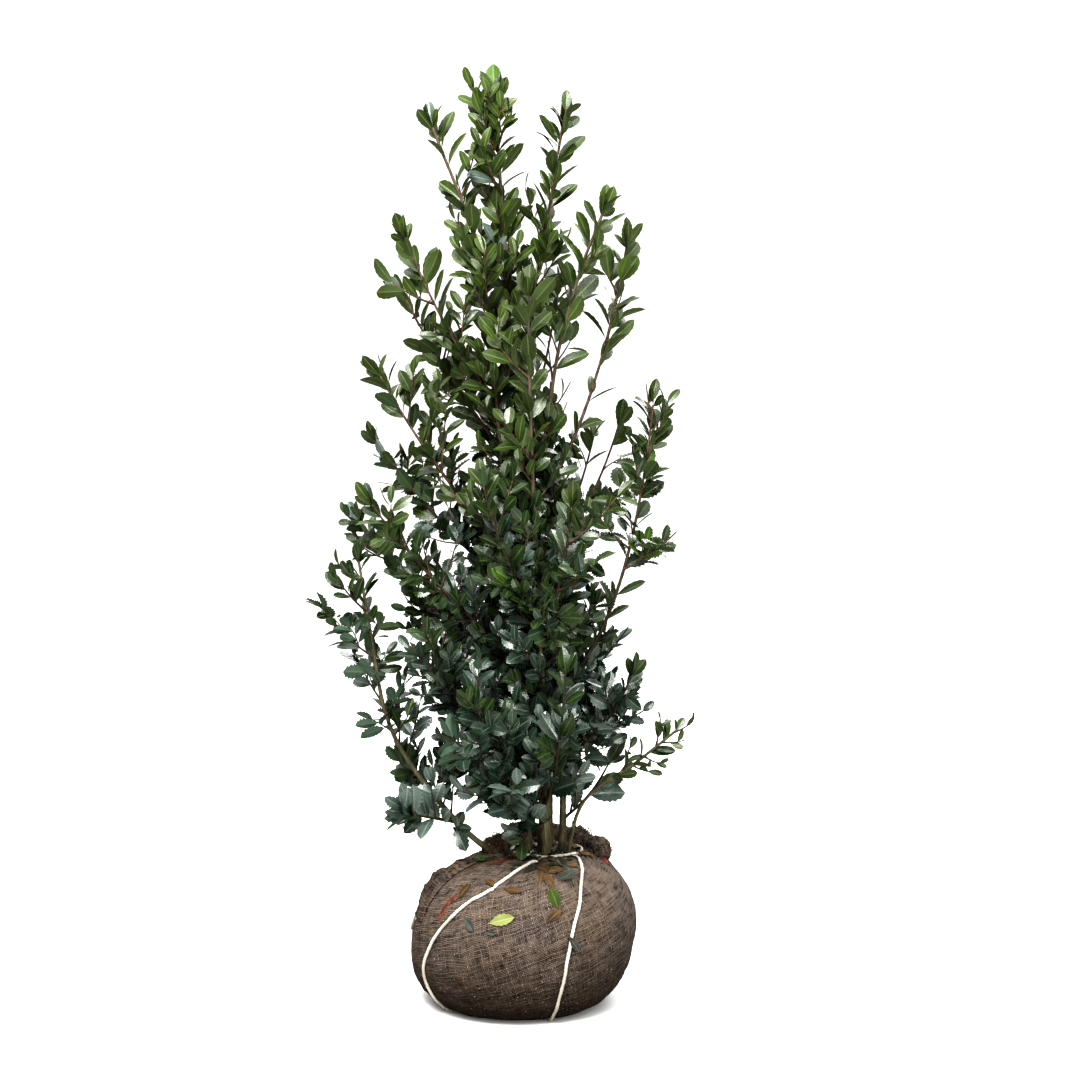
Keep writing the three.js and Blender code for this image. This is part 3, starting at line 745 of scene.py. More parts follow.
# %% Shoots
SHOOTS = {  # the stem, the height on it, the tip, the sweep, the foot's radius, the bare share
    "right_leader": ("trunk", 1010, (62, 26, 1422), 0.1, 3.4, 0),
    "left_top": ("stem_left", 985, (-184, -50, 1236), 0.3, 3.4, 0),
    "left_high": ("trunk", 860, (-192, 46, 1146), 0.2, 4.2, 0.36),
    "left_upper": ("stem_left", 730, (-228, -62, 1024), 0.2, 4.4, 0.36),
    "left_middle": ("trunk", 640, (-240, 58, 910), 0.2, 3.8, 0),
    "left_lower": ("stem_left", 560, (-240, -92, 820), 0.2, 3.8, 0),
    "left_wide": ("trunk", 500, (-270, 76, 780), 0.35, 4.6, 0.38),
    "right_high": ("stem_right", 850, (166, -4, 1230), 0.45, 4.2, 0.36),
    "right_wide": ("stem_right", 520, (208, -46, 976), 0.8, 4.8, 0.4),
    "right_middle": ("trunk", 700, (156, 54, 940), 0.5, 3.6, 0),
    "right_lower": ("stem_right", 400, (172, -100, 546), 0.5, 3.6, 0),
    "right_low": ("stem_right", 296, (140, -16, 392), 0.4, 3, 0),
    "front_low": ("stem_front", 380, (-76, -180, 512), 0.6, 3.4, 0),
    "front_middle": ("stem_front", 640, (-61, -156, 852), 0.4, 3.2, 0),
    "front_right": ("stem_front", 600, (76, -186, 822), 0.5, 3.2, 0),
    "front_wide": ("stem_front", 330, (66, -206, 566), 0.7, 3.8, 0.3),
    "front_foot": ("stem_front", 290, (-44, -128, 384), 0.6, 3, 0),
    "low_side": ("stem_low_left", 290, (-176, -96, 322), 0, 3.2, 0),
    "low_inner": ("stem_left", 340, (-140, -84, 590), 0.3, 3.4, 0),
    "low_outer": ("stem_low_left", 300, (-196, 66, 380), 0.3, 3.2, 0),
    "back_low": ("stem_back", 330, (34, 206, 620), 0.7, 4.2, 0.32),
    "back_left": ("stem_back", 400, (-150, 180, 700), 0.5, 4.2, 0.34),
    "back_right": ("stem_back", 360, (146, 168, 630), 0.6, 4.2, 0.34),
    "back_foot": ("stem_back", 296, (-66, 124, 430), 0.5, 3.2, 0),
    "back_middle": ("stem_back", 600, (10, 200, 872), 0.5, 3.6, 0),
    "back_shoulder": ("stem_back", 700, (118, 148, 920), 0.4, 3.6, 0),
    "back_high": ("stem_back", 820, (-118, 150, 1060), 0.3, 3.6, 0),
    "back_top": ("stem_back", 920, (58, 134, 1168), 0.3, 3.4, 0),
    "inner_left": ("trunk", 320, (-116, 26, 516), 0.4, 3.2, 0),
    "inner_right": ("trunk", 400, (112, 40, 640), 0.5, 3.2, 0),
}
print(f"{len(SHOOTS)} shoots")

# %% Limbs along their lines
SWEEP_OUT, SWEEP_DOWN = 0.32, 0.34  # how a sweep moves a shoot's bend
SHOOT_TIP = 2  # radius
FLARE, FLARE_LENGTH = 0.2, 30  # what a stem's foot gains
FRESH_ABOVE = 1100  # a limb that ends higher has the fresher green


def share_at_height(line, height):
    """The share of a rising line's length at which it passes a height."""
    low, high = 0.0, 1.0
    for _ in range(40):
        middle = (low + high) / 2
        if line.point(middle)[2] < height:
            low = middle
        else:
            high = middle
    return low


class Limb:
    """A stem or shoot: its line, radii, the share without leaves and the limb it grows on."""

    def __init__(self, name, line, radii, bare, flare, parent=None):
        self.name, self.line, self.radii, self.bare = name, line, radii, bare
        self.flare, self.parent = flare, parent
        self.fresh = line.point(1.0)[2] > FRESH_ABOVE
        self.node = f"foliage_{name.replace('stem_', '')}"

    def radius(self, share):
        foot, tip = self.radii
        swell = foot * self.flare * np.exp(-np.asarray(share) * self.line.length / FLARE_LENGTH)
        return lerp(foot, tip, np.asarray(share)) + swell


limbs = {}
for name, (places, radii, bare) in STEMS.items():
    limbs[name] = Limb(name, through(places), radii, bare, FLARE)
for name, (stem, height, tip, sweep, radius, bare) in SHOOTS.items():
    parent = limbs[stem]
    foot = parent.line.point(share_at_height(parent.line, height))
    out = 0.5 + SWEEP_OUT * sweep
    bend = lerp(foot, np.array(tip), np.array([out, out, 0.5 - SWEEP_DOWN * sweep]))
    limbs[name] = Limb(name, bending(foot, bend, tip), (radius, SHOOT_TIP), bare, 0, parent)
print(f"{len(limbs)} limbs, {sum(l.line.length for l in limbs.values()) / 1000:.1f} m in all")

# %% [markdown]
# ## The rule of growth
#
# Holly sets its leaves in a spiral, each turned 137.5 degrees from the last, and short twigs
# grow where some of those leaves were. A seeded run of numbers settles each size and roll, so
# every run of this script grows the same plant. A leaf or twig is kept only where it has room:
# nearer to its own stem than to any other, within reach, and clear of the bare limbs. This is
# the rule of the solid model, with the same seeds. Its leaf places then carry finer growth.

# %% Room to grow
GAP, WALL_GAP = 0.3, 0.8
OWN_SPACE, REACH = 1.6, 128
SPINE_POINTS, WALL_POINTS = 14, 25

order = list(limbs)
spines = np.array([
    limb.line.point(np.linspace(limb.bare, 1, SPINE_POINTS + 1)) for limb in limbs.values()
])
bare_limbs = [limb for limb in limbs.values() if limb.bare > 0]
wall_shares = np.linspace(0, 1, WALL_POINTS)
walls = np.array([limb.line.point(wall_shares * limb.bare) for limb in bare_limbs])
wall_radii = np.array([limb.radius(wall_shares * limb.bare) for limb in bare_limbs])


def stretches(points, lines):
    """The distance from each point to each straight stretch of each line."""
    steps = lines[:, 1:] - lines[:, :-1]
    away = points[:, None, None, :] - lines[None, :, :-1]
    share = np.clip((away * steps).sum(-1) / (steps**2).sum(-1), 0, 1)
    return np.linalg.norm(away - share[..., None] * steps, axis=-1)


def in_own_space(points, name, spare=OWN_SPACE):
    """Whether every point is nearer to a limb's spine than to any other, and in reach."""
    away = stretches(points, spines).min(-1)
    own = away[:, order.index(name)]
    others = np.delete(away, order.index(name), axis=1)
    return bool((own <= REACH).all() and (others >= own[:, None] + spare).all())


def clear_of_limbs(points, spare=WALL_GAP):
    """Whether every point is outside the bare limbs."""
    thickness = (wall_radii[:, 1:] + wall_radii[:, :-1]) / 2
    return bool((stretches(points, walls) > thickness + spare).all())


print(f"{len(spines)} spines, and {len(walls)} bare limbs to keep clear of")


# %% Directions and the seeded run of numbers
def seeded(seed):
    """The same run of numbers between 0 and 1 for the same seed, as in the solid model."""
    state, whole = seed, 0xFFFFFFFF

    def draw():
        nonlocal state
        state = (state + 0x6D2B79F5) & whole
        mixed = ((state ^ state >> 15) * (state | 1)) & whole
        mixed ^= (mixed + (((mixed ^ mixed >> 7) * (mixed | 61)) & whole)) & whole
        return (mixed ^ mixed >> 14) / 4294967296

    return draw


def sideways(along, angle):
    """The direction at right angles to a limb, turned round it by an angle."""
    steady = np.array([1.0, 0, 0]) if abs(along[0]) < 0.8 else np.array([0, 1.0, 0])
    first = unit(np.cross(steady, along))
    return first * math.cos(angle) + np.cross(along, first) * math.sin(angle)


def growth_direction(along, turn, degrees):
    opening = math.radians(degrees)
    return along * math.cos(opening) + sideways(along, turn) * math.sin(opening)


def turned(vector, axis, angle):
    """A vector turned about an axis (the rule of Rodrigues)."""
    kept = axis * axis.dot(vector) * (1 - math.cos(angle))
    return vector * math.cos(angle) + np.cross(axis, vector) * math.sin(angle) + kept


def basis(direction, facing):
    """Across, along and out of a leaf whose tip and face point those ways."""
    across = unit(np.cross(direction, facing))
    return np.array([across, direction, np.cross(across, direction)])


opened = growth_direction(np.array([0, 0, 1.0]), 0, 48)
print("a leaf opened by 48 degrees points to", opened.round(2))

# %% Sizes and angles of the growth
LEAF_LENGTH, LEAF_WIDTH = 70, 34
LEAF_CORNERS = np.array([
    (0, 1, 0), (-0.42, 0.34, 0.036), (0.42, 0.34, 0.036), (-0.5, 0.7, 0.056), (0.5, 0.7, 0.056)
]) * (LEAF_WIDTH, LEAF_LENGTH, LEAF_LENGTH)
FIELD_WIDTHS = (1, 2, 3.4, 4, 4.2, 4.5, 5, 4, 2.4, 0.2)
LEAF_FIELD = np.array([
    (x * width, y, 0.05 * y) for y, width in zip(np.linspace(0.1, 1, 10), FIELD_WIDTHS)
    for x in np.linspace(-0.1, 0.1, 5)
]) * (LEAF_WIDTH, LEAF_LENGTH, LEAF_LENGTH)
LEAF_SIZES, TIP_SIZES = (0.85, 1.1), (0.72, 0.86)
LEAF_ANGLE, LEAF_RISE, LEAF_ROLL, LEAF_LEAN = 48, 0.25, 62, 0.4
LEAF_PITCH, LEAF_STAGGER = 26, 0.3
TIP_ANGLES, TIP_TURN = (8, 30), math.radians(162)
GOLDEN_ANGLE = math.radians(137.5)
TWIG_EVERY, TWIGS_UP_TO = 3, 0.8
TWIG_ANGLE, TWIG_LENGTH, TWIG_SHRINK, TWIG_SIZES = 52, 104, 0.55, (0.8, 1.2)
TWIG_RADIUS, TWIG_TAPER, TWIG_TIP_LEAF = 2.3, 0.35, 0.97
FIRST_SEED, SEED_STEP = 11, 7


print(f"leaves of {LEAF_LENGTH} mm, twigs up to {TWIG_LENGTH * TWIG_SIZES[1]:.0f} mm")


# %% The growth of one mass
class Spray:
    """A place for leaves: where it is, where its tip and face point, and how long it is."""

    def __init__(self, place, direction, facing, length, limb, rest, twig):
        self.place, self.length, self.limb = place, length, limb
        self.rest, self.twig = rest, twig
        self.basis = basis(direction, facing)

    def spot(self, across, along, out=0.0):
        return self.place + np.array([across, along, out]) @ self.basis


class Twig:
    """A leafy twig: its line, radii and limb, and how far it is from the limb's tip."""

    def __init__(self, line, foot, tip, limb, rest):
        self.line, self.foot, self.tip, self.limb, self.rest = line, foot, tip, limb, rest


def rounded(value):
    """The nearest whole number, with halves up, as the solid model rounds."""
    return math.floor(value + 0.5)


def grow_mass(limb, seed):
    """The sprays and twigs of one limb, by the rule and the seed of its solid."""
    random = seeded(seed)
    sprays, twigs = [], []
    start = limb.bare + (GAP / limb.line.length if limb.bare > 0 else 0)
    length = limb.line.length * (1 - start)

    def between(pair):
        return lerp(*pair, random())

    def add_leaf(line, spot, turn, angle, size, rest, twig=None):
        place, along = line.point(spot), line.tangent(spot)
        direction = unit(growth_direction(along, turn, angle) + (0, 0, LEAF_RISE))
        facing = along - LEAF_LEAN * sideways(along, turn)
        facing = turned(facing, direction, math.radians(LEAF_ROLL) * (2 * random() - 1))
        frame_of = basis(direction, facing)
        corners = np.vstack([LEAF_CORNERS, [(0, LEAF_LENGTH / 2, 0)]]) * size @ frame_of + place
        field = LEAF_FIELD * size @ frame_of + place
        if in_own_space(corners, limb.name) and clear_of_limbs(field):
            sprays.append(Spray(place, direction, facing, LEAF_LENGTH * size, limb, rest, twig))

    def add_twig(place, along, turn, size, rest):
        direction = growth_direction(along, turn, TWIG_ANGLE)
        tip = place + direction * size + (0, 0, LEAF_RISE * size)
        line = bending(place, place + direction * size / 2, tip)
        points = line.point(np.array([0.3, 0.5, 0.7, 0.85, 1]))
        body = line.point(np.linspace(0, 1, 15))
        room = clear_of_limbs(body, WALL_GAP + 0.6 * TWIG_RADIUS)
        if not (in_own_space(points, limb.name) and room):
            return False
        twig = Twig(line, TWIG_RADIUS, TWIG_RADIUS * (1 - TWIG_TAPER), limb, rest)
        twigs.append(twig)
        places = max(2, rounded(size / LEAF_PITCH))
        for i in range(1, places):
            angle = turn + i * GOLDEN_ANGLE
            add_leaf(line, i / places, angle, LEAF_ANGLE, between(LEAF_SIZES), rest, twig)
        angle = turn + places * GOLDEN_ANGLE
        add_leaf(line, TWIG_TIP_LEAF, angle, TIP_ANGLES[0], between(TIP_SIZES), rest, twig)
        return True

    turn = random() * 2 * math.pi
    places = max(3, rounded(length / LEAF_PITCH))
    for i in range(1, places):
        spot = lerp(start, 1, (i + LEAF_STAGGER * (random() - 0.5)) / places)
        share = i / places
        turn += GOLDEN_ANGLE
        size = TWIG_LENGTH * (1 - TWIG_SHRINK * share) * between(TWIG_SIZES)
        rest = (1 - spot) * limb.line.length
        wants_twig = i % TWIG_EVERY == 1 and share < TWIGS_UP_TO
        place, along = limb.line.point(spot), limb.line.tangent(spot)
        if not (wants_twig and add_twig(place, along, turn, size, rest)):
            add_leaf(limb.line, spot, turn, LEAF_ANGLE, between(LEAF_SIZES), rest)
    for angle in TIP_ANGLES:
        turn += TIP_TURN
        add_leaf(limb.line, 1 - 2 / limb.line.length, turn, angle, between(TIP_SIZES), 0)
    return sprays, twigs


sprays, twigs = [], []
for number, limb in enumerate(limbs.values(), start=1):
    grown = grow_mass(limb, FIRST_SEED + SEED_STEP * number)
    sprays += grown[0]
    twigs += grown[1]
print(f"{len(sprays)} leaf places and {len(twigs)} twigs")

# %% [markdown]
# ## Leaf blades
#
# A leaf is a sheet with a short stalk, a fold along its midrib and an arched tip. Its outline
# comes from one formula that is widest past the middle. Young leaves have fine even teeth.
# Old leaves are shorter and broader, with spines between hollow bays and a wavy edge. A few
# variants of each, placed by arrays, are enough, because each is rolled and scaled by itself.

# %% Blade outlines
BLADE_COLUMNS = np.array([-1, -0.5, 0, 0.5, 1])
STALK, STALK_HALF_WIDTHS = 0.07, (0.013, 0.015)


def blade(rows, width, spine, wave, cup, arch, twist, base, tip):
    """Points, faces and marks of a leaf of length 1, its stalk at the origin, along Y."""
    t = np.arange(1, rows) / rows
    outline = t**base * (1 - t) ** tip
    tooth = np.where(np.arange(1, rows) % 2 == 1, 1.0, -1.0)
    half = width / 2 * outline / outline.max() * (1 + spine * tooth)
    half = np.concatenate((STALK_HALF_WIDTHS, half))
    y = np.concatenate(([0, STALK], lerp(STALK, 1, t + 0.8 * spine / rows * tooth)))
    edge = np.concatenate(([0, 0], wave * tooth))
    x = half[:, None] * BLADE_COLUMNS
    z = cup * np.abs(x) + edge[:, None] * np.abs(BLADE_COLUMNS) ** 3
    grid = np.stack([x, np.broadcast_to(y[:, None], x.shape), z], -1).reshape(-1, 3)
    points = np.vstack([grid, [(0, 1, 0)]])
    turn = twist * points[:, 1]
    across, out = points[:, 0].copy(), points[:, 2].copy()
    points[:, 0] = across * np.cos(turn) - out * np.sin(turn)
    points[:, 2] = across * np.sin(turn) + out * np.cos(turn) - arch * points[:, 1] ** 2
    columns = len(BLADE_COLUMNS)
    last = rows * columns
    side = grid_faces(rows + 1, columns, closed=False)
    point = np.array([(last + k, last + k + 1, last + columns) for k in range(columns - 1)])
    marks = np.append(np.tile(np.abs(BLADE_COLUMNS), rows + 1), 0.0)
    return points, [side, point], marks


BLADES = [blade(*form) for form in (  # four smooth ones, then four spiny ones
    (11, 0.43, 0.04, 0.0, 0.18, 0.1, 0.15, 0.82, 0.62),
    (11, 0.39, 0.035, 0.004, 0.3, 0.18, -0.25, 0.78, 0.64),
    (11, 0.46, 0.04, 0.0, 0.12, 0.05, 0.1, 0.86, 0.6),
    (11, 0.41, 0.035, 0.0, 0.24, 0.26, -0.1, 0.75, 0.66),
    (13, 0.52, 0.12, 0.012, 0.18, 0.12, 0.2, 0.8, 0.7),
    (13, 0.58, 0.13, 0.015, 0.12, 0.2, -0.2, 0.76, 0.66),
    (13, 0.48, 0.11, 0.012, 0.26, 0.08, 0.1, 0.84, 0.74),
    (13, 0.55, 0.13, 0.016, 0.2, 0.28, -0.15, 0.78, 0.7),
)]
SMOOTH_KINDS = 4
print("triangles of the blades:", [2 * len(faces[0]) + 4 for _, faces, _ in BLADES])

# %% [markdown]
# ## Sprays, fine twigs and buds
#
# Each place of the rule now gets its real growth. On a young shoot that is one blade. Lower
# and further in, it is a sprig: a thread of a twig with a handful of small blades to its left
# and right and one at its tip, all inside the outline of the place. The same spiral is then
# run again at a closer pitch: as single blades along the young shoots and twigs, and as short
# leafy twigs in the dense middle of the crown. Between the outer shoots the sky is left open.

# %% Where the crown is full, and where sky shows
rng = np.random.default_rng(20)
TINTS = {name: number for number, name in enumerate(LEAF_TINTS)}
leaves = []  # blade, place, basis, length, tint, limb
fine_twigs = []  # line, foot radius, tip radius
buds = []  # place, direction, size
YOUNG_REACH, SHORT_REACH = 250, 90  # how far from its tip a limb carries smooth leaves
YOUNG_FROM = ((300, 520), (0.3, 1))  # heights, and how young the young wood is there
OLD_BELOW, AGE_SPAN = 790, 220  # heights over which all wood turns young
LEAF_SCALE = ((360, 500, 880, 1020), (1.12, 0.92, 0.95, 1.08))  # heights, and leaf sizes there
SMALL_LEAVED = {"stem_low_right": 0.72}  # a low green shoot, and how long its leaves are
FRONT_PULL = (0, -0.8, 0.45)  # what draws a leaf's face to the plant's front
CROWN_EDGE, THINNING = 1.35, 2.1  # where the full crown ends, in half widths, and how sharply
# how often a spray gets the bluish tint with its painted sheen, and how much more often low
# down
BLUE_SHEEN_SHARE, BLUE_SHEEN_GAIN, YOUNG_SHARE = 0.03, 0.4, 0.008  # of the sprays
LIGHT_LIMITS = (("leaf_deep", 0.1), ("leaf_dark", 0.46), ("leaf_green", 0.9))
CORE = np.array([  # height, middle and half width of the dense middle of the crown
    (250, -14, 84), (330, -38, 126), (420, -40, 154), (520, -38, 166), (620, -36, 158),
    (720, -32, 132), (820, -30, 110), (920, -40, 104), (1020, -50, 104), (1120, -38, 92),
    (1200, -26, 84), (1300, -22, 72), (1400, -24, 66), (1470, -42, 40), (1520, -45, 22),
])
CLEARINGS = [  # left, right, low and high edges where sky shows, and the share of leaves kept
    (246, 320, 540, 990, 0.0), (160, 232, 1008, 1090, 0.1), (92, 160, 950, 1085, 0.4),
    (92, 160, 850, 950, 0.2), (92, 160, 770, 850, 0.7), (22, 100, 985, 1110, 0.15),
    (92, 160, 610, 770, 0.9), (160, 232, 610, 700, 0.5), (92, 160, 290, 440, 0.3),
    (222, 300, 430, 500, 0.7), (-175, -105, 690, 770, 0.3), (-235, -170, 880, 960, 0.5),
    (-300, -105, 190, 292, 0.12), (-60, 30, 190, 292, 0.2), (-105, -60, 190, 258, 0.6),
    (-300, -235, 292, 400, 0.0), (128, 300, 240, 330, 0.2), (-260, -205, 1060, 1180, 0.5),
    (18, 92, 255, 400, 0.35), (-30, 18, 268, 345, 0.7), (-172, -110, 292, 365, 0.35),
    (92, 160, 1085, 1210, 0.55), (-168, -103, 1340, 1410, 0.5),
    (-233, -168, 1120, 1210, 0.6), (-168, -110, 690, 850, 0.55),
    (-38, 22, 1410, 1484, 0.8), (-168, -110, 365, 430, 0.6),
]
print(f"{len(CLEARINGS)} clearings, and a dense middle up to {CORE[-1, 0]:.0f} mm")


# %% How a leaf is kept, turned, aged and tinted
def fullness(point):
    """1 in the dense middle of the crown, falling to 0 outside it."""
    middle, half = (np.interp(point[2], CORE[:, 0], CORE[:, k]) for k in (1, 2))
    away = math.hypot(point[0] - middle, 0.9 * point[1]) / half
    return float(portion(THINNING * (CROWN_EDGE - away)))


def kept(point):
    """Whether a leaf that ends at a point is kept, by the clearings of the crown."""
    for left, right, low, high, share in CLEARINGS:
        if left < point[0] < right and low < point[2] < high:
            return rng.random() < share
    return True


def toward_light(place, spread):
    """Where a leaf turns its face: up, outwards, and most of all to the plant's front."""
    away = place - (np.interp(place[2], CORE[:, 0], CORE[:, 1]), 0, place[2])
    outward = away / max(50, np.linalg.norm(away))
    return unit(outward + FRONT_PULL + rng.normal(0, spread, 3))


def youth_of(limb, rest, height):
    """1 on young wood and 0 on old: by the way to the limb's tip and the height."""
    reach = YOUNG_REACH if limb.bare > 0 else SHORT_REACH
    young = 1 if limb.name in SMALL_LEAVED else np.interp(height, *YOUNG_FROM)
    return float(portion(max(young * (1 - rest / reach), (height - OLD_BELOW) / AGE_SPAN)))


def deal_tint(youth, height):
    """The tint of a spray: deep low down, where the bluish tint with its painted sheen is dealt
    most, fresh on top, and few young ones.
    """
    low = float(portion((600 - height) / 250))
    chance = rng.random()
    # the bluish tint with its painted sheen, dealt most of all low down
    if chance < BLUE_SHEEN_SHARE + BLUE_SHEEN_GAIN * low**2:
        return TINTS["leaf_blue_painted_sheen"]
    if height > 560 and chance > 1 - YOUNG_SHARE:
        return TINTS["leaf_young"]
    light = 0.8 * portion((height - 520) / 700) + 0.2 * youth + rng.normal(0, 0.14)
    for name, limit in LIGHT_LIMITS:
        if light < limit:
            return TINTS[name]
    return TINTS["leaf_fresh"]


def add_blade(place, direction, facing, length, spiny, tint, limb):
    """One leaf, scaled to its height on the plant and left out where the sky shows."""
    direction = unit(direction)
    length *= np.interp(place[2], *LEAF_SCALE)
    if limb.name in SMALL_LEAVED:
        length *= SMALL_LEAVED[limb.name]
        tint = TINTS[rng.choice(["leaf_green", "leaf_dark"])]
    kind = rng.integers(SMOOTH_KINDS) + (SMOOTH_KINDS if spiny else 0)
    if kept(place + direction * length):
        leaves.append((kind, place, basis(direction, facing), length, tint, limb))


print("full at the middle:", fullness(np.array([-38.0, 0, 520])))

# %% What grows at a place of the rule
SPRIG_SIZES, SPRIG_TIP_SIZES, SPRIG_LEAVES = (32, 47), (28, 40), (4, 7)
SPRIG_RADII, FINE_RADII = (1.3, 0.9), (1.6, 0.9)
OPEN_HEIGHTS = (850, 1000)  # from here up single leaves take the place of sprigs


def add_sprig(spray, count, tint, spiny):
    """A short twig with small blades on both sides, inside the spray's outline."""
    if not kept(spray.spot(0, spray.length)):
        return
    across, along, out = spray.basis
    reach = spray.length * 0.5
    sway = spray.spot(rng.normal(0, 0.06) * reach, 0.55 * reach, 0.08 * reach)
    line = bending(spray.place, sway, spray.spot(rng.normal(0, 0.08) * reach, reach))
    fine_twigs.append((line, *SPRIG_RADII))
    side = rng.choice([-1, 1])
    for i in range(count):
        place, ahead = line.point((i + 0.7) / count), line.tangent((i + 0.7) / count)
        side = -side
        opening = math.radians(rng.uniform(38, 66))
        lift = rng.normal(0, 0.3)
        direction = ahead * math.cos(opening) + across * side * math.sin(opening) + out * lift
        facing = turned(out + 0.25 * ahead, unit(direction), rng.normal(0, 0.5))
        length = rng.uniform(*SPRIG_SIZES)
        add_blade(place, direction, facing, length, spiny, tint, spray.limb)
        if rng.random() < 0.25:
            buds.append((place, ahead, rng.uniform(1.1, 1.7)))
    tip, ahead = line.point(1.0), line.tangent(1.0)
    length = rng.uniform(*SPRIG_TIP_SIZES)
    add_blade(tip, ahead + 0.1 * out, out, length, spiny, tint, spray.limb)


twigs = [twig for twig in twigs if kept(twig.line.point(1.0))]
sprays = [spray for spray in sprays if spray.twig is None or spray.twig in twigs]
for spray in sprays:
    height = spray.place[2]
    youth = youth_of(spray.limb, spray.rest, height)
    tint = deal_tint(youth, height)
    spiny = rng.random() > 0.2 + 1.2 * youth
    if youth > np.interp(height, OPEN_HEIGHTS, (0.5, 0.3)):
        _, along, out = spray.basis
        length = spray.length * rng.uniform(0.7, 0.86)
        length *= np.interp(height, OPEN_HEIGHTS, (0.86, 1))
        add_blade(spray.place, along, out, length, spiny, tint, spray.limb)
        buds.append((spray.place, unit(along + 0.4 * out), rng.uniform(1.0, 1.6)))
    else:
        add_sprig(spray, int(rng.integers(*SPRIG_LEAVES)), tint, spiny)
print(f"{len(leaves)} leaves on the places of the rule")

# %% Runs of leaves, and twigs between the places
LEAFY_PITCH, DENSE_PITCH = 12.5, 9  # from leaf to leaf along young wood
FINE_PITCH, TWIG_PITCH = 8.2, 8.6  # between fine twigs, and between the leaves on one
FINE_LENGTH = (40, 84)
OTHERS_SPACE = 24  # how far a fine leaf may lean into another limb's space
FINE_SIZES, CLAD_SIZES, SHOOT_SIZES, LEAFY_SIZES = (36, 50), (34, 46), (42, 60), (38, 52)


def leafy_run(line, limb, first, last, pitch, youth_at, sizes, tint=None):
    """Blades in a spiral along part of a line, smaller towards its tip."""
    turn = rng.uniform(0, 2 * math.pi)
    run = line.length * (last - first)
    count = max(2, int(run / pitch))
    for i in range(count):
        share = lerp(first, last, (i + 0.6 + rng.uniform(-0.25, 0.25)) / count)
        place, ahead = line.point(share), line.tangent(share)
        turn += GOLDEN_ANGLE
        youth = youth_at(share)
        rest = (1 - share) * line.length
        opening = rng.uniform(30, 58) if rest > 12 else rng.uniform(5, 30)
        direction = unit(growth_direction(ahead, turn, opening) + (0, 0, 0.22))
        facing = ahead - 0.35 * sideways(ahead, turn) + 1.5 * toward_light(place, 0.45)
        spiny = rng.random() > 0.15 + 1.3 * youth
        length = rng.uniform(*sizes) * (0.66 + 0.34 * min(1, rest / 50)) * (0.9 if spiny else 1)
        tip = place + direction * length
        if fullness(tip) > 0.2 or in_own_space(tip[None], limb.name, -OTHERS_SPACE):
            own_tint = deal_tint(youth, place[2]) if tint is None else tint
            add_blade(place, direction, facing, length, spiny, own_tint, limb)
        if rng.random() < 0.2:
            buds.append((place, unit(ahead + 0.6 * direction), rng.uniform(1.0, 1.8)))


def grow_twig(limb, place, direction, length, youth, needed=0.0):
    """A leafy twig from a place on a limb, where it has room and the crown is full enough."""
    tip = place + direction * length + (0, 0, 0.25 * length)
    line = bending(place, place + direction * length * 0.5, tip)
    room = clear_of_limbs(line.point(np.linspace(0.35, 1, 4)), 1.5)
    if fullness(tip) >= needed and room:
        fine_twigs.append((line, *FINE_RADII))
        tint = deal_tint(youth, place[2])
        leafy_run(line, limb, 0.2, 1.0, TWIG_PITCH, lambda share: youth, FINE_SIZES, tint)


def add_fine_twig(limb, spot, turn, length, youth):
    """A twig between the places. Young ones stand more upright."""
    place, along = limb.line.point(spot), limb.line.tangent(spot)
    direction = growth_direction(along, turn, rng.uniform(46, 74) * lerp(1, 0.6, youth))
    grow_twig(limb, place, direction, length, youth, rng.uniform(0.05, 0.6))


print(f"a leaf every {LEAFY_PITCH} mm, a fine twig every {FINE_PITCH} mm")

# %% Twigs that fill a thin place
SIDE_TWIGS = [  # limb, share of its length, heading, length
    ("left_upper", 0.5, (0.1, -0.1, 1), 84), ("left_upper", 0.62, (0.25, 0.1, 1), 88),
    ("left_upper", 0.76, (0.15, -0.2, 1), 70), ("left_high", 0.42, (-0.9, -0.3, 0.1), 60),
    ("left_high", 0.5, (-0.8, 0.2, 0), 56), ("right_wide", 0.82, (0.5, -0.1, 1), 66),
    ("right_wide", 0.9, (0.7, 0.1, 1), 52), ("right_wide", 0.7, (-0.2, -0.3, 1), 70),
    ("front_foot", 0.6, (-0.7, -0.1, 0.5), 60), ("inner_left", 0.16, (-0.8, -0.5, 0.3), 62),
    ("stem_left", 0.07, (-1, -0.5, 0.6), 92), ("stem_left", 0.11, (-0.9, 0.2, 0.5), 84),
    ("stem_low_left", 0.2, (0.1, -0.3, 1), 76), ("stem_low_left", 0.27, (0.4, -0.2, 1), 80),
    ("left_wide", 0.93, (-1, -0.1, 0.6), 50), ("left_wide", 0.84, (-1, 0, 0.4), 52),
    ("stem_low_left", 0.94, (-1, -0.2, 0.5), 44), ("right_wide", 0.6, (-0.7, -0.2, 0.7), 70),
    ("right_wide", 0.52, (-0.8, -0.3, 0.6), 66), ("right_wide", 0.95, (-0.2, -0.3, 1), 50),
    ("right_leader", 0.9, (0.25, -0.3, 1), 60), ("stem_left", 0.9, (0.4, -0.2, 1), 60),
]
LOW_TWIGS = [  # share of its length, heading, length: the little twigs of the low right shoot
    (0.985, (1, -0.2, 0.35), 32), (0.9, (0.9, -0.3, -0.1), 38), (0.78, (0.6, -0.4, -0.4), 36),
    (0.64, (0.3, -0.4, 1), 44), (0.86, (0.2, -0.2, 1), 38), (0.7, (0.8, -0.2, -0.5), 34),
]
print(f"{len(SIDE_TWIGS) + len(LOW_TWIGS)} twigs for thin places")

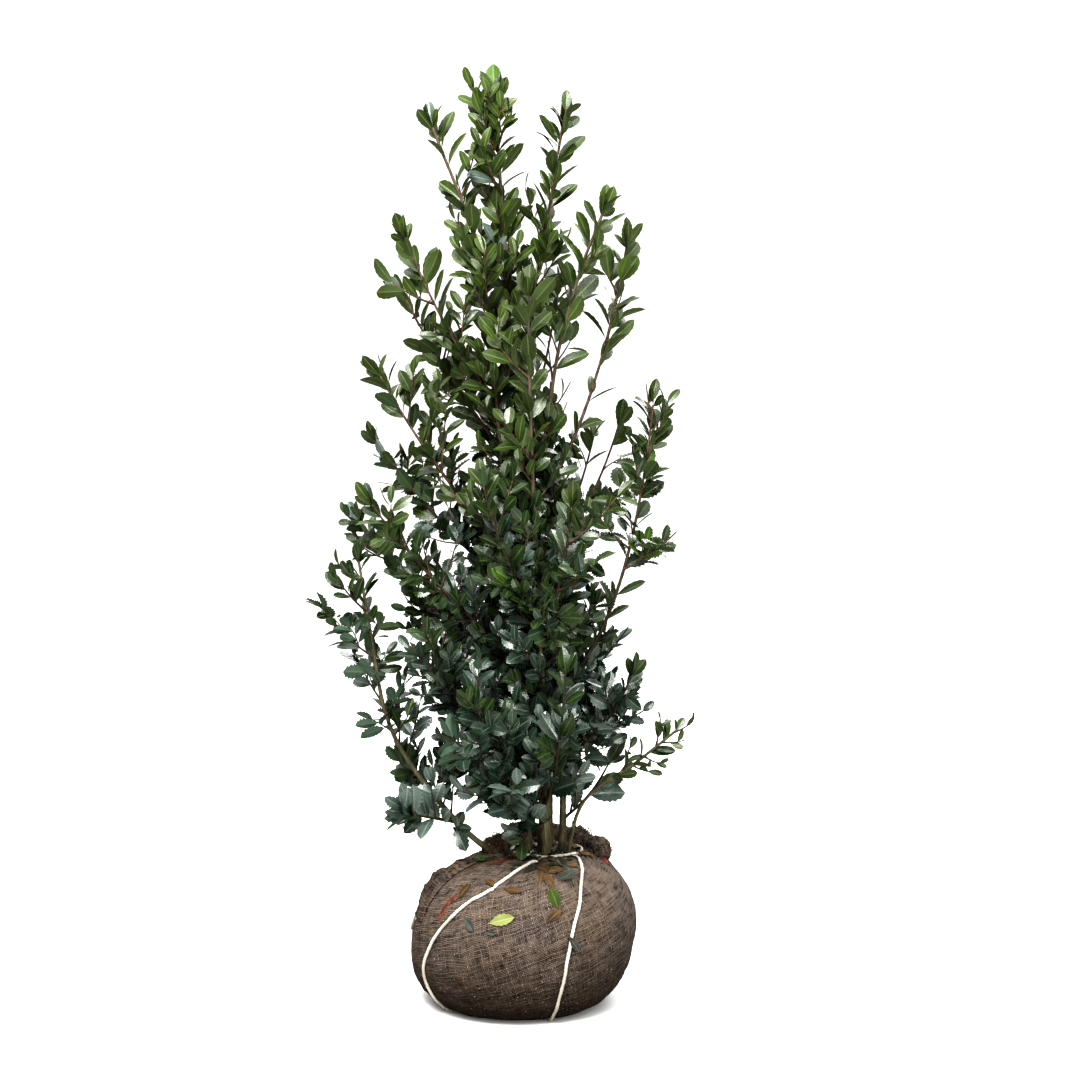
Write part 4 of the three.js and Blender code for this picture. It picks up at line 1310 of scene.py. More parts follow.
# %% The same spiral again, closer
TIP_LEAVES, TIP_SPOT = 4, 0.995  # upright blades at the end of every limb
LEADERS, LEADER_LEAF, TIP_LEAF = ("trunk", "right_leader"), 60, 48
TIP_OPENING, TIP_OPENS, TIP_SHRINKS = 6, 13, 0.14  # degrees, and what each next blade loses
TWIGS_ABOVE, CLAD_ABOVE = 262, 440  # heights where fine twigs start, and leaves on old stems
STRETCH = 0.1  # a limb's leaves are set one tenth of its length at a time

for limb in limbs.values():
    low = limb.bare if limb.parent or limb.name.startswith("stem_low") else 0.1
    count = int(limb.line.length * (1 - low) / FINE_PITCH)
    turn = rng.uniform(0, 2 * math.pi)
    for i in range(1, count):
        spot = lerp(low, 1, i / count)
        place = limb.line.point(spot)
        turn += GOLDEN_ANGLE
        youth = youth_of(limb, (1 - spot) * limb.line.length, place[2])
        open_above = np.interp(place[2], (850, 1020), (1, 0.74))
        chance = fullness(place) * (1 - 0.45 * youth) * open_above
        if place[2] > TWIGS_ABOVE and rng.random() < chance:
            add_fine_twig(limb, spot, turn, rng.uniform(*FINE_LENGTH), youth)
    if low < limb.bare and not limb.parent:
        old = share_at_height(limb.line, CLAD_ABOVE)
        leafy_run(limb.line, limb, old, limb.bare, DENSE_PITCH, lambda share: 0.1, CLAD_SIZES)

    def youth_at(share):
        return youth_of(limb, (1 - share) * limb.line.length, limb.line.point(share)[2])

    pitch = DENSE_PITCH if limb.name == "stem_front" else LEAFY_PITCH
    for first in np.arange(0.1 if limb.parent else limb.bare, 1, STRETCH):
        rest = (1 - first - 0.05) * limb.line.length
        if limb.parent or youth_of(limb, rest, limb.line.point(first)[2]) > 0.25:
            last = min(1, first + STRETCH)
            leafy_run(limb.line, limb, first, last, pitch, youth_at, SHOOT_SIZES)
    end, along = limb.line.point(TIP_SPOT), limb.line.tangent(TIP_SPOT)
    for i in range(TIP_LEAVES):
        opening = TIP_OPENING + TIP_OPENS * i
        direction = growth_direction(along, turn + i * GOLDEN_ANGLE, opening)
        length = (LEADER_LEAF if limb.name in LEADERS else TIP_LEAF) * (1 - TIP_SHRINKS * i)
        facing = toward_light(end, 0.3)
        add_blade(end, direction, facing, length, False, deal_tint(1, end[2]), limb)
for name, spot, heading, length in SIDE_TWIGS:
    limb = limbs[name]
    place = limb.line.point(spot)
    youth = youth_of(limb, (1 - spot) * limb.line.length, place[2])
    grow_twig(limb, place, unit(heading), length, youth)
for twig in twigs:
    youth = youth_of(twig.limb, twig.rest, twig.line.point(1.0)[2])
    run = (twig.line, twig.limb, 0.2, 1.0, LEAFY_PITCH)
    leafy_run(*run, lambda share: youth, LEAFY_SIZES)
for spot, heading, length in LOW_TWIGS:
    limb = limbs["stem_low_right"]
    grow_twig(limb, limb.line.point(spot), unit(heading), length, 1.0)
print(f"{len(leaves)} leaves, {len(fine_twigs)} fine twigs, {len(buds)} buds")

# %% Joined leaves
PIECE_LIMIT, LEAF_TRIANGLES = 190000, 108
finishes = list(leaf_finishes.values())


def join_leaves(name, fresh):
    """Leaves of the fresh limbs or of the others as joined meshes, each under the limit."""
    count, bundle, sharp, nodes = 1, Bundle(), [], []

    def close():
        piece = f"{name}_{count}"
        make_piece(piece, bundle, finishes, nodes, np.concatenate(sharp))

    for limb in limbs.values():
        if limb.fresh != fresh:
            continue
        own = [leaf for leaf in leaves if leaf[5] is limb]
        if bundle.triangles and bundle.triangles + LEAF_TRIANGLES * len(own) > PIECE_LIMIT:
            close()
            count, bundle, sharp, nodes = count + 1, Bundle(), [], []
        for kind, place, frame_of, length, tint, _ in own:
            points, faces, marks = BLADES[kind]
            bundle.add(points * length @ frame_of + place, faces, tint, marks)
            sharp.append(marks == 0)
        nodes.append(limb.node)
    close()


join_leaves("holly_leaves_dark", False)
join_leaves("holly_leaves_fresh", True)

# %% [markdown]
# ## Wood
#
# Trunk, stems and boughs are tubes along their lines, with the relief of the bark in the mesh:
# shallow flutes that die out upwards, small lumps, and rings at the scars of old leaves on the
# young wood. A limb's foot swells where it leaves the limb that carries it. Twigs are plain
# thin tubes with fewer sides.

# %% Tubes
def tube(line, shares, radii, sides, relief=None):
    """Points and faces of a tube, closed at its tip by a small cone."""
    centres, along = line.point(shares), line.tangent(shares)
    steady = np.where(np.abs(along[:, :1]) < 0.8, [[1.0, 0, 0]], [[0, 1.0, 0]])
    first = unit(np.cross(steady, along))
    second = np.cross(along, first)
    angles = around_ring(sides)
    ring = first[:, None] * np.cos(angles)[:, None] + second[:, None] * np.sin(angles)[:, None]
    thick = np.broadcast_to(np.asarray(radii)[:, None], (len(shares), sides))
    if relief is not None:
        thick = thick + relief(centres[:, None] + ring * thick[..., None], angles, shares)
    points = (centres[:, None] + ring * thick[..., None]).reshape(-1, 3)
    tip = centres[-1] + along[-1] * thick[-1].mean()
    last = (len(shares) - 1) * sides
    cap = fan(last, sides, last + sides)
    return np.vstack([points, [tip]]), [grid_faces(len(shares), sides), cap]


def wood_radius(limb, shares):
    """Slender wood: it thins quickly above the foot, and slowly after."""
    foot = limb.radii[0]
    if limb.parent:
        return lerp(0.8 * foot, 1.5, shares**0.8)
    swell = 0.25 * foot * np.exp(-shares * limb.line.length / 26)
    return lerp(0.84 * foot, 2.2, shares**0.6) + swell


def bark_relief(limb):
    """What the bark adds to a limb's radius: flutes at the foot, lumps, and leaf scars."""
    def relief(surface, angles, shares):
        radius = wood_radius(limb, shares)[:, None]
        low = np.exp(-shares * limb.line.length / 160)[:, None]
        twist = angles[None] + shares[:, None] * limb.line.length / 210
        flutes = 0.16 * np.sin(3 * twist + 1) + 0.09 * np.sin(5 * twist)
        lumps = rough(surface.reshape(-1, 3), 11, 3, 3.1).reshape(surface.shape[:2])
        way = shares[:, None] * limb.line.length
        scar = np.exp(-(((way + 1.5 * np.sin(angles)[None]) % 21 - 4) ** 2) / 3)
        foot = np.exp(-way / 9) * (0.5 if limb.parent else 0.1)
        return radius * (flutes * low + 0.09 * lumps + 0.1 * scar + foot)

    return relief


def limbs_mesh(name, members, sides, finish, nodes):
    """Some limbs as one mesh. Their wood is marked young high up and towards their tips."""
    bundle = Bundle()
    for limb in (limbs[member] for member in members):
        shares = np.linspace(0, 1, max(8, int(limb.line.length / 5)))
        form = tube(limb.line, shares, wood_radius(limb, shares), sides, bark_relief(limb))
        young = portion((limb.line.point(shares)[:, 2] - 560) / 500) * (0.4 + 0.6 * shares)
        bundle.add(*form, mark=np.append(np.repeat(young, sides), 1.0))
    make_piece(name, bundle, [finish], nodes)


SIDE_STEMS = [name for name in STEMS if name != "trunk"]
BOUGHS = [name for name in NODES if name.startswith("bough_")]
limbs_mesh("holly_trunk", ["trunk"], 26, trunk_finish, ["trunk"])
limbs_mesh("holly_stems", SIDE_STEMS, 16, trunk_finish, SIDE_STEMS)
limbs_mesh("holly_boughs", SHOOTS, 10, twig_finish, BOUGHS)

# %% Twigs and buds
def add_twig_mesh(line, radii, sides):
    """A twig's tube, marked by its height: olive and brown low down, red-brown above."""
    shares = np.linspace(0, 1, len(radii))
    young = float(np.clip((line.point(0.5)[2] - 480) / 520, 0.1, 1))
    twig_bundle.add(*tube(line, shares, radii, sides), mark=young)


twig_bundle = Bundle()
shares = np.linspace(0, 1, 9)
swell = 1 + 0.7 * np.exp(-shares * 9) + 0.1 * (np.arange(9) % 2)
for twig in twigs:
    add_twig_mesh(twig.line, 0.72 * lerp(twig.foot, twig.tip, shares) * swell, 6)
shares = np.linspace(0, 1, 5)
swell = 1 + 0.5 * np.exp(-shares * 9)
for line, foot, tip in fine_twigs:
    add_twig_mesh(line, lerp(foot, tip, shares) * swell, 5)
make_piece("holly_twigs", twig_bundle, [twig_finish])

BUD_ROWS = np.array([(0.0, 0.45), (0.35, 1.0), (0.75, 0.95), (1.25, 0.55)])  # height, radius
BUD_TIP, BUD_SIDES, BUD_FACING = 1.75, 6, (0.31, 0.22, 0.92)

rings = [(r * np.cos(a), h, r * np.sin(a)) for h, r in BUD_ROWS for a in around_ring(BUD_SIDES)]
bud_points = np.array(rings + [(0, BUD_TIP, 0)])
last = len(rings) - BUD_SIDES
bud_faces = [
    grid_faces(len(BUD_ROWS), BUD_SIDES)[:, ::-1], fan(last, BUD_SIDES, len(rings))[:, ::-1],
]
bud_bundle = Bundle()
for place, direction, size in buds:
    frame_of = basis(unit(direction), BUD_FACING)
    bud_bundle.add(bud_points * size @ frame_of + place, bud_faces)
make_piece("holly_buds", bud_bundle, [buds_finish])

# %% [markdown]
# ## The root ball
#
# The soil is held in a cloth that was drawn up round it and gathered at the neck. Its form is
# the solid's own skin, a lathed belly that leans a little, with a flat foot. On that skin lie
# soft lumps, folds that fan out from the neck and the dents that the strings press into it.
# The weave itself is too fine for faces and is left to the finish, on thread coordinates that
# run round the ball and up it, so the threads draw together at the neck as real ones do.

# %% The ball's skin
BALL_HEIGHT, BALL_FOOT, BALL_TOP_RADIUS = 240, 112, 76
BALL_BULGE, BULGE_HEIGHTS = 212, (14, 214)
TOP_SHIFT, TOP_BEND, FOOT_SHIFT, BALL_LEAN = 35, 11, (-4, -30), 0.1
BALL_LUMPS = (0.016, 0.012)
FOOT_SHARE, TOP_SHARE = 0.12, 0.9


def ball_skin(angle, share):
    """A point on the skin: share 0 is the middle of the underside and 1 that of the top."""
    angle, share = np.broadcast_arrays(np.asarray(angle, float), np.asarray(share, float))
    t = portion((share - FOOT_SHARE) / (TOP_SHARE - FOOT_SHARE))
    near, far = 3 * (1 - t) ** 2 * t, 3 * (1 - t) * t**2
    radius = (1 - t) ** 3 * BALL_FOOT + (near + far) * BALL_BULGE + t**3 * BALL_TOP_RADIUS
    up = near * BULGE_HEIGHTS[0] + far * BULGE_HEIGHTS[1] + t**3 * BALL_HEIGHT
    radius = np.where(share < FOOT_SHARE, BALL_FOOT * share / FOOT_SHARE, radius)
    inner = BALL_TOP_RADIUS * (1 - share) / (1 - TOP_SHARE)
    radius = np.where(share > TOP_SHARE, inner, radius)
    height = up / BALL_HEIGHT
    belly = np.sin(math.pi * height)
    lumps = BALL_LUMPS[0] * np.sin(2 * angle + 0.6) + BALL_LUMPS[1] * np.sin(3 * angle + 2.1)
    radius = radius * (1 + lumps * belly)
    low = (1 - height) ** 2
    x = radius * np.cos(angle) + FOOT_SHIFT[0] * low + TOP_SHIFT * height**TOP_BEND
    y = radius * np.sin(angle) + FOOT_SHIFT[1] * low
    return np.stack([x, y, up + BALL_LEAN * radius * np.cos(angle) * belly], -1)


def skin_normal(angle, share, step=0.01):
    around = ball_skin(angle + step, share) - ball_skin(angle - step, share)
    rise = ball_skin(angle, share + step) - ball_skin(angle, share - step)
    return unit(np.cross(around, rise))


print("the belly's edge:", ball_skin(np.array([0, math.pi]), 0.5).round().tolist())

# %% The strings' routes
TWINE_LIFT, TWINE_CLEAR = 7.2, 0.2
TWINE_GUIDE_STEPS = 120
TWINE_ROUTES = {  # degrees round the ball, share of the way up it, and lift
    "twine_left": [
        (262, 0.93, 0), (252, 0.84, 0), (246, 0.76, 0), (231, 0.67, 0), (222, 0.59, 0),
        (215, 0.51, 0), (211, 0.4, 0), (212, 0.28, 0), (214, 0.16, 0), (214, 0.06, 0),
        (214, -0.06, 0), (214, -0.16, 0), (215, -0.3, 0), (221, -0.5, 0), (226, -0.7, 0),
        (226, -0.84, 0), (222, -0.93, 0),
    ],
    "twine_right": [
        (318, 0.93, 0), (313, 0.84, 0), (308, 0.75, 0), (303, 0.66, 0), (298, 0.59, 0),
        (293, 0.44, 0), (291, 0.3, 0), (291, 0.16, 0), (291, 0.04, 0), (291, 0.01, TWINE_LIFT),
        (291, -0.01, TWINE_LIFT), (291, -0.04, 0), (291, -0.16, 0), (291, -0.3, 0),
        (288, -0.5, 0), (284, -0.7, 0), (280, -0.84, 0), (278, -0.93, 0),
    ],
}


def route_on_ball(route):
    """Angles round the ball and shares up it along a string, and how far it is lifted."""
    guide = through([(degrees, 100 * share, lift) for degrees, share, lift in route])
    degrees, share, lift = guide.at(np.linspace(0, 1, TWINE_GUIDE_STEPS + 1)).T
    angle = np.radians(np.where(share < 0, degrees + 180, degrees))
    return angle, np.abs(share) / 100, np.maximum(lift, 0)


routes = {name: route_on_ball(route) for name, route in TWINE_ROUTES.items()}
dents = np.vstack([ball_skin(angle, share) for angle, share, _ in routes.values()])
string_tree = kdtree.KDTree(len(dents))
for number, point in enumerate(dents):
    string_tree.insert(Vector(point), number)
string_tree.balance()
print("two strings round the ball")

# %% The cloth's relief
FOLDS_FROM = 0.5
DENT_WIDTH, DENT_DEPTH = 8.0, 1.6
RIM_HEIGHT, RIM_AWAY, RIM_WIDTH = 0.8, 14, 7  # the low swelling beside a dent


def cloth_relief(points, angle, share):
    """How far the cloth stands off the plain skin, away from the strings."""
    lumps = 2.4 * rough(points, 75, 3, 1.3) + 1.5 * rough(points, 24, 3, 5.2)
    grain = 0.6 * rough(points, 7, 2, 8.8)
    gather = portion((share - FOLDS_FROM) / (TOP_SHARE - FOLDS_FROM)) ** 1.5
    wander = rough(points, 60, 2, 2.7)
    folds = np.sin(19 * angle + 5 * wander) + 0.6 * np.sin(41 * angle + 8 * wander)
    sag = 0.7 * np.sin(share * 70 + 3 * wander) * portion((0.5 - share) / 0.3)
    ends = portion((share - FOOT_SHARE) / 0.05) * portion((1 - share) / 0.02)
    return (lumps + grain + 1.5 * gather * folds + sag) * ends


def string_dent(points):
    away = np.array([string_tree.find(Vector(point))[2] for point in points])
    rim = RIM_HEIGHT * np.exp(-(((away - RIM_AWAY) / RIM_WIDTH) ** 2))
    return rim - DENT_DEPTH * np.exp(-((away / DENT_WIDTH) ** 2))


print(f"dents {DENT_DEPTH} mm deep under the strings")

# %% The wrapped ball
BALL_COLUMNS, BALL_ROWS, UNDER_ROWS = 288, 168, 14
FIRST_SHARE, LAST_SHARE = 0.004, 0.999  # the rings nearest to the middle of foot and top
CLOTH_ROUND, CLOTH_UP = 1.16, 0.51  # metres round the belly, and from middle to middle
BIAS = math.radians(14)  # the cloth was laid on askew


def closed_grid(points, rows, columns, ends):
    """A grid of points closed round its columns, with a fan to each of its two end points."""
    last, count = (rows - 1) * columns, rows * columns
    caps = [fan(0, columns, count, inwards=True), fan(last, columns, count + 1)]
    return np.vstack([points, *ends]), [grid_faces(rows, columns), *caps]


shares = np.concatenate([
    np.linspace(FIRST_SHARE, FOOT_SHARE, UNDER_ROWS, endpoint=False),
    np.linspace(FOOT_SHARE, LAST_SHARE, BALL_ROWS - UNDER_ROWS),
])
grids = np.meshgrid(around_ring(BALL_COLUMNS) + math.pi / 2, shares)
angle, share = (grid.ravel() for grid in grids)
ball_points = ball_skin(angle, share)
dent = string_dent(ball_points) * portion((share - FOOT_SHARE) / 0.05)
relief = cloth_relief(ball_points, angle, share) + dent
ball_points = ball_points + skin_normal(angle, np.clip(share, 0.02, 0.98)) * relief[:, None]
ball_points[:, 2] = np.maximum(ball_points[:, 2], 0)
ends = [ball_skin(0, 0)[None], ball_skin(0, 1)[None]]
ball_form = closed_grid(ball_points, BALL_ROWS, BALL_COLUMNS, ends)
level, rise = angle / (2 * math.pi) * CLOTH_ROUND, share * CLOTH_UP
threads = np.stack([
    level * math.cos(BIAS) + rise * math.sin(BIAS),
    rise * math.cos(BIAS) - level * math.sin(BIAS),
], -1)
threads = np.vstack([threads, [(0, 0), (0, CLOTH_UP)]])
make_form("wrapped_ball", ball_form, ball_finish, ["root_ball"], threads)

# %% [markdown]
# ## Bunched sacking and root fibre
#
# Behind the stems the cloth is bunched up in a rough ridge, and root fibre hangs out of it.
# The ridge is a lumpy horseshoe, folded by noise of three sizes. The fibres are thin wandering
# tubes, joined into one mesh, and crumbs of soil fill the ring between the stems.

# %% The ridge
NECK_CENTRE, COLLAR_RADIUS, COLLAR_THICKNESS, COLLAR_SINK = 38, 86, 26, 2
COLLAR_ARC = np.radians((-16, 194))
COLLAR_ROWS, COLLAR_SIDES = 150, 34
COLLAR_CLOTH = (0.3, 0.16)  # metres of cloth along the ridge and round it


def collar_point(share, turn, swell=1.0):
    """A point on the horseshoe: share of its arc, and the turn round its section."""
    angle = lerp(*COLLAR_ARC, share)
    thick = 0.5 + 0.5 * np.sin(math.pi * share) + 0.12 * np.sin(9 * angle)
    thick = COLLAR_THICKNESS * thick * swell * lerp(0.8, 1.0, portion(share / 0.4))
    out = COLLAR_RADIUS + thick * np.sin(turn) + 4 * np.sin(5 * angle)
    height = BALL_HEIGHT - COLLAR_SINK + thick * np.cos(turn)
    return np.stack([NECK_CENTRE + out * np.cos(angle), out * np.sin(angle), height], -1)


grids = np.meshgrid(np.linspace(0, 1, COLLAR_ROWS), around_ring(COLLAR_SIDES), indexing="ij")
share, turn = (grid.ravel() for grid in grids)
fading = portion(np.minimum(share, 1 - share) / 0.1) ** 0.6  # thin at both ends
points = collar_point(share, turn, 0.12 + 0.88 * fading)
middle = collar_point(share, turn, 0.0)
folds = 6 * rough(points, 26, 3, 4.4) + 4 * np.abs(rough(points, 12, 2, 6.1))
folds = (folds + 1.2 * rough(points, 4, 2, 9.3)) * fading
points = points + unit(points - middle) * folds[:, None]
ridge_form = closed_grid(points, COLLAR_ROWS, COLLAR_SIDES, [middle[:1], middle[-1:]])
threads = np.stack([share * COLLAR_CLOTH[0], turn / (2 * math.pi) * COLLAR_CLOTH[1]], -1)
threads = np.vstack([threads, threads[:1], threads[-1:]])
make_form("bunched_sacking", ridge_form, collar_finish, ["sacking_collar"], threads)

# %% Root fibres and crumbs
FIBRES, CRUMBS = 460, 700
CRUMB_FACING = (0.2, 0.3, 0.93)
SOIL_REACH = 70  # how far from the neck's middle crumbs lie


def on_ball_top(angle, far):
    return np.array([NECK_CENTRE + far * math.cos(angle), far * math.sin(angle), BALL_HEIGHT])


def wandering(start, heading, length, steps=7, sway=0.5):
    """A smooth line that wanders from a place."""
    places = [start]
    for _ in range(steps - 1):
        heading = unit(heading + rng.normal(0, sway, 3))
        places.append(places[-1] + heading * length / steps)
    return through(places)


fibre_bundle = Bundle()
for _ in range(FIBRES):
    share, turn = rng.uniform(0.02, 0.98), rng.normal(0.1, 1.0)
    start = collar_point(share, turn, 1.02)
    angle = lerp(*COLLAR_ARC, share)
    heading = np.array([-math.sin(angle), math.cos(angle), 0]) * rng.choice([-1, 1])
    heading = unit(heading + rng.normal(0, 0.35, 3))
    line = wandering(start, heading, rng.uniform(14, 34))
    shares = np.linspace(0, 1, 7)
    points, faces = tube(line, shares, lerp(rng.uniform(0.5, 1.2), 0.3, shares), sides=3)
    points[:, 2] = np.minimum(points[:, 2], BALL_HEIGHT + 32)
    fibre_bundle.add(points, faces, mark=rng.random())
for _ in range(CRUMBS):
    angle, far = rng.uniform(0, 2 * math.pi), SOIL_REACH * math.sqrt(rng.random())
    centre = on_ball_top(angle, far)
    size = rng.uniform(1.2, 4.2)
    frame_of = basis(unit(rng.normal(0, 1, 3)), CRUMB_FACING)
    points = bud_points * (size, size * 0.7, size) @ frame_of + centre
    lifted = points + (0, 0, rng.uniform(0, 2))
    fibre_bundle.add(lifted, bud_faces, mark=0.3 * rng.random())
make_piece("root_fibre", fibre_bundle, [root_finish])

# %% [markdown]
# ## A loose corner of the cloth
#
# On the left a corner of the sacking has come away from the ball and curls outwards. It is a
# thin closed sheet: an outer face, an inner face behind it and an edge all round.

# %% Loose corner
def thin_sheet(outer, inner):
    """Points and faces of a closed sheet between two grids of points of the same shape."""
    rows, columns = outer.shape[:2]
    loops = np.concatenate([outer, inner[:, ::-1]], axis=1)
    ends = [loops[0].mean(0)[None], loops[-1].mean(0)[None]]
    return closed_grid(loops.reshape(-1, 3), rows, 2 * columns, ends)


def loose_sheet(degrees, shares, lift, curl, thickness, seed):
    """A sheet that hangs on the ball along one side and curls away along the other."""
    share, across = np.meshgrid(np.linspace(*shares, 30), np.linspace(0, 1, 9), indexing="ij")
    along = (share - shares[0]) / (shares[1] - shares[0])
    ragged = rough(np.stack([60 * along, 0 * along, 0 * along], -1).reshape(-1, 3), 12, 3, seed)
    reach = across * (0.45 + 0.55 * np.sin(math.pi * along))
    reach = reach * (1 + 0.5 * ragged.reshape(along.shape))
    angle = np.radians(lerp(*degrees, reach))
    skin, out = ball_skin(angle, share), skin_normal(angle, share)
    wave = rough(skin.reshape(-1, 3), 16, 3, seed).reshape(along.shape)
    stand = lift + curl * reach**1.5 * (1 + 0.5 * wave) + 1.2 * wave * across
    outer = skin + out * stand[..., None]
    return thin_sheet(outer, outer - out * thickness)


corner = loose_sheet((203, 175), (0.6, 0.84), lift=2.6, curl=7.0, thickness=1.4, seed=1.7)
threads = corner[0][:, [1, 2]] * METRES
make_form("loose_sacking", corner, collar_finish, threads=threads)

# %% [markdown]
# ## Twine, threads and fallen leaves
#
# The twine is soft, white and two-ply: a tube whose section is pinched and turns as it goes.
# Two strings run from a ring round the stems' foot, down the ball, under it and up behind.
# A few red threads are woven into the cloth, and old leaves have dropped on it.

# %% Twine
PLY_TURN = 0.5  # radians to a millimetre
STRING_RADIUS = 2.8
STRING_REST = 0.2  # how far the string's middle stands off the dent it lies in
NECK_RADIUS, NECK_FLATNESS = 58, 0.86
END_STEPS = 12  # along the loose end of twine on the left


def string_on_ball(angle, share, lift):
    """The middle of a string that lies in its dent, or is pressed flat under the ball."""
    skin = ball_skin(angle, share)
    stand = cloth_relief(skin, angle, share) - DENT_DEPTH + STRING_REST + STRING_RADIUS
    under = share < FOOT_SHARE + 0.02
    points = skin + skin_normal(angle, share) * np.where(under, 0, stand)[:, None]
    points[:, 2] = np.maximum(points[:, 2], STRING_RADIUS + TWINE_CLEAR) + lift
    return points


def twine_tube(points):
    """A soft two-ply string along a list of points."""
    line = through(points)
    rows = int(line.length / 2.2)
    shares = np.linspace(0, 1, rows)

    def plies(surface, angles, shares):
        way = shares[:, None] * line.length
        worn = 0.3 * rough(line.point(shares), 9, 2, 3.3)[:, None]
        return 0.34 * np.cos(2 * (angles[None] - PLY_TURN * way)) - 0.2 + worn

    return tube(line, shares, np.full(rows, STRING_RADIUS), 12, plies)


for name, (angle, share, lift) in routes.items():
    string = twine_tube(string_on_ball(angle, share, lift))
    make_form(f"{name}_string", string, string_finish, [name])

angle = np.radians(np.linspace(188, 179, END_STEPS))
share = np.linspace(0.64, 0.54, END_STEPS)
loose_end = string_on_ball(angle, share, 0) + skin_normal(angle, share) * DENT_DEPTH
make_form("twine_end", twine_tube(loose_end), string_finish)

turns = np.linspace(0, 2 * math.pi, 61)
ring_height = BALL_HEIGHT + GAP + STRING_RADIUS
ring = np.stack([
    NECK_CENTRE + NECK_RADIUS * np.cos(turns), NECK_FLATNESS * NECK_RADIUS * np.sin(turns),
    ring_height + 0.8 * np.sin(5 * turns),
], -1)
make_form("twine_ring", twine_tube(ring), string_finish, ["twine_neck"])

# %% Red threads
RED_THREADS = [  # degrees and share at both ends, and how many threads lie there
    ((213, 0.85), (226, 0.89), 5),
    ((223, 0.73), (221, 0.645), 5),
    ((352, 0.8), (358, 0.84), 5),
]
THREAD_RADIUS, THREAD_PLACES, THREAD_ROWS = 0.55, 9, 24
thread_bundle = Bundle()
for (angle_from, share_from), (angle_to, share_to), count in RED_THREADS:
    for _ in range(count):
        spots = np.linspace(rng.uniform(-0.2, 0.3), rng.uniform(0.7, 1.2), THREAD_PLACES)
        degrees = lerp(angle_from, angle_to, spots) + rng.normal(0, 2.0)
        angle = np.radians(degrees + rng.normal(0, 0.5, THREAD_PLACES))
        share = lerp(share_from, share_to, spots) + rng.normal(0, 0.014)
        path = ball_skin(angle, share)
        stand = cloth_relief(path, angle, share) + 0.5 + rng.uniform(0, 0.8, THREAD_PLACES)
        line = through(path + skin_normal(angle, share) * stand[:, None])
        radii = np.full(THREAD_ROWS, THREAD_RADIUS)
        thread_bundle.add(*tube(line, np.linspace(0, 1, THREAD_ROWS), radii, sides=5))
make_piece("red_threads", thread_bundle, [red_finish])

# %% Fallen leaves
FALLEN = [  # degrees round the ball, share up it, heading, length and tint
    (258, 0.642, 12, 44, "yellow"), (240, 0.78, -20, 30, "brown"),
    (259.5, 0.753, -16, 34, "brown"), (283, 0.787, 110, 34, "brown"),
    (286.5, 0.638, 30, 34, "brown"), (263, 0.848, 50, 38, "grey"),
    (296.5, 0.797, 15, 40, "grey"), (240, 0.63, -45, 34, "grey"),
    (287.5, 0.713, -85, 40, "wilted"), (275, 0.85, 160, 34, "brown"),
    (248, 0.875, 20, 34, "grey"), (196, 0.85, 10, 40, "young"),
    (204, 0.86, 25, 42, "wilted"), (226.5, 0.735, 80, 36, "brown"),
    (300, 0.86, -30, 34, "brown"), (92, 0.7, 30, 38, "brown"),
    (60, 0.6, 110, 34, "grey"), (150, 0.66, -30, 36, "yellow"),
    (20, 0.74, 60, 34, "brown"), (296.5, 0.528, -68, 32, "grey"),
    (270, 0.875, 35, 36, "brown"), (284, 0.865, 12, 40, "wilted"),
    (253, 0.6, -10, 20, "grey"), (290, 0.895, 150, 40, "brown"),
    (281, 0.88, -30, 38, "grey"), (267, 0.9, 60, 40, "grey"),
    (287, 0.84, 200, 36, "brown"), (276, 0.815, 75, 34, "brown"),
    (292.5, 0.87, 100, 36, "grey"), (254, 0.91, -50, 40, "brown"),
]
ON_STRING, STRING_LIFT = (296.5,), 4.5  # these lie over a string
FALLEN_BLADES = [blade(*form) for form in (
    (11, 0.42, 0.08, 0.01, 0.2, -0.06, 0.1, 1.0, 0.9),
    (11, 0.46, 0.1, 0.02, 0.1, -0.04, -0.14, 0.95, 0.9),
    (11, 0.38, 0.05, 0.0, 0.26, -0.08, 0.16, 1.1, 0.85),
)]
fallen_bundle, fallen_sharp = Bundle(), []
skin_faces = ball_form[1][0][:, ::-1].tolist()
ball_tree = bvhtree.BVHTree.FromPolygons([Vector(point) for point in ball_points], skin_faces)
DRAPE = 0.95  # how closely a leaf follows the cloth
DROP_FROM = 60  # how far out it starts to fall


def drop_leaf(form, length, middle, direction, outwards, lift, tint):
    """A leaf dropped on the ball, bent to the cloth below it."""
    points, faces, marks = form
    frame_of = basis(unit(direction), outwards)
    out = frame_of[2]
    flat = points * length - (0, length / 2, 0)
    laid = []
    for spot in flat * (1, 1, 0) @ frame_of + middle:
        hit = ball_tree.ray_cast(Vector(spot + DROP_FROM * out), Vector(-out))[0]
        laid.append(spot if hit is None else lerp(spot, np.array(hit), DRAPE))
    laid = np.array(laid) + (flat[:, 2:] + lift) * out
    fallen_bundle.add(laid, faces, TINTS[f"leaf_{tint}"], marks)
    fallen_sharp.append(marks == 0)


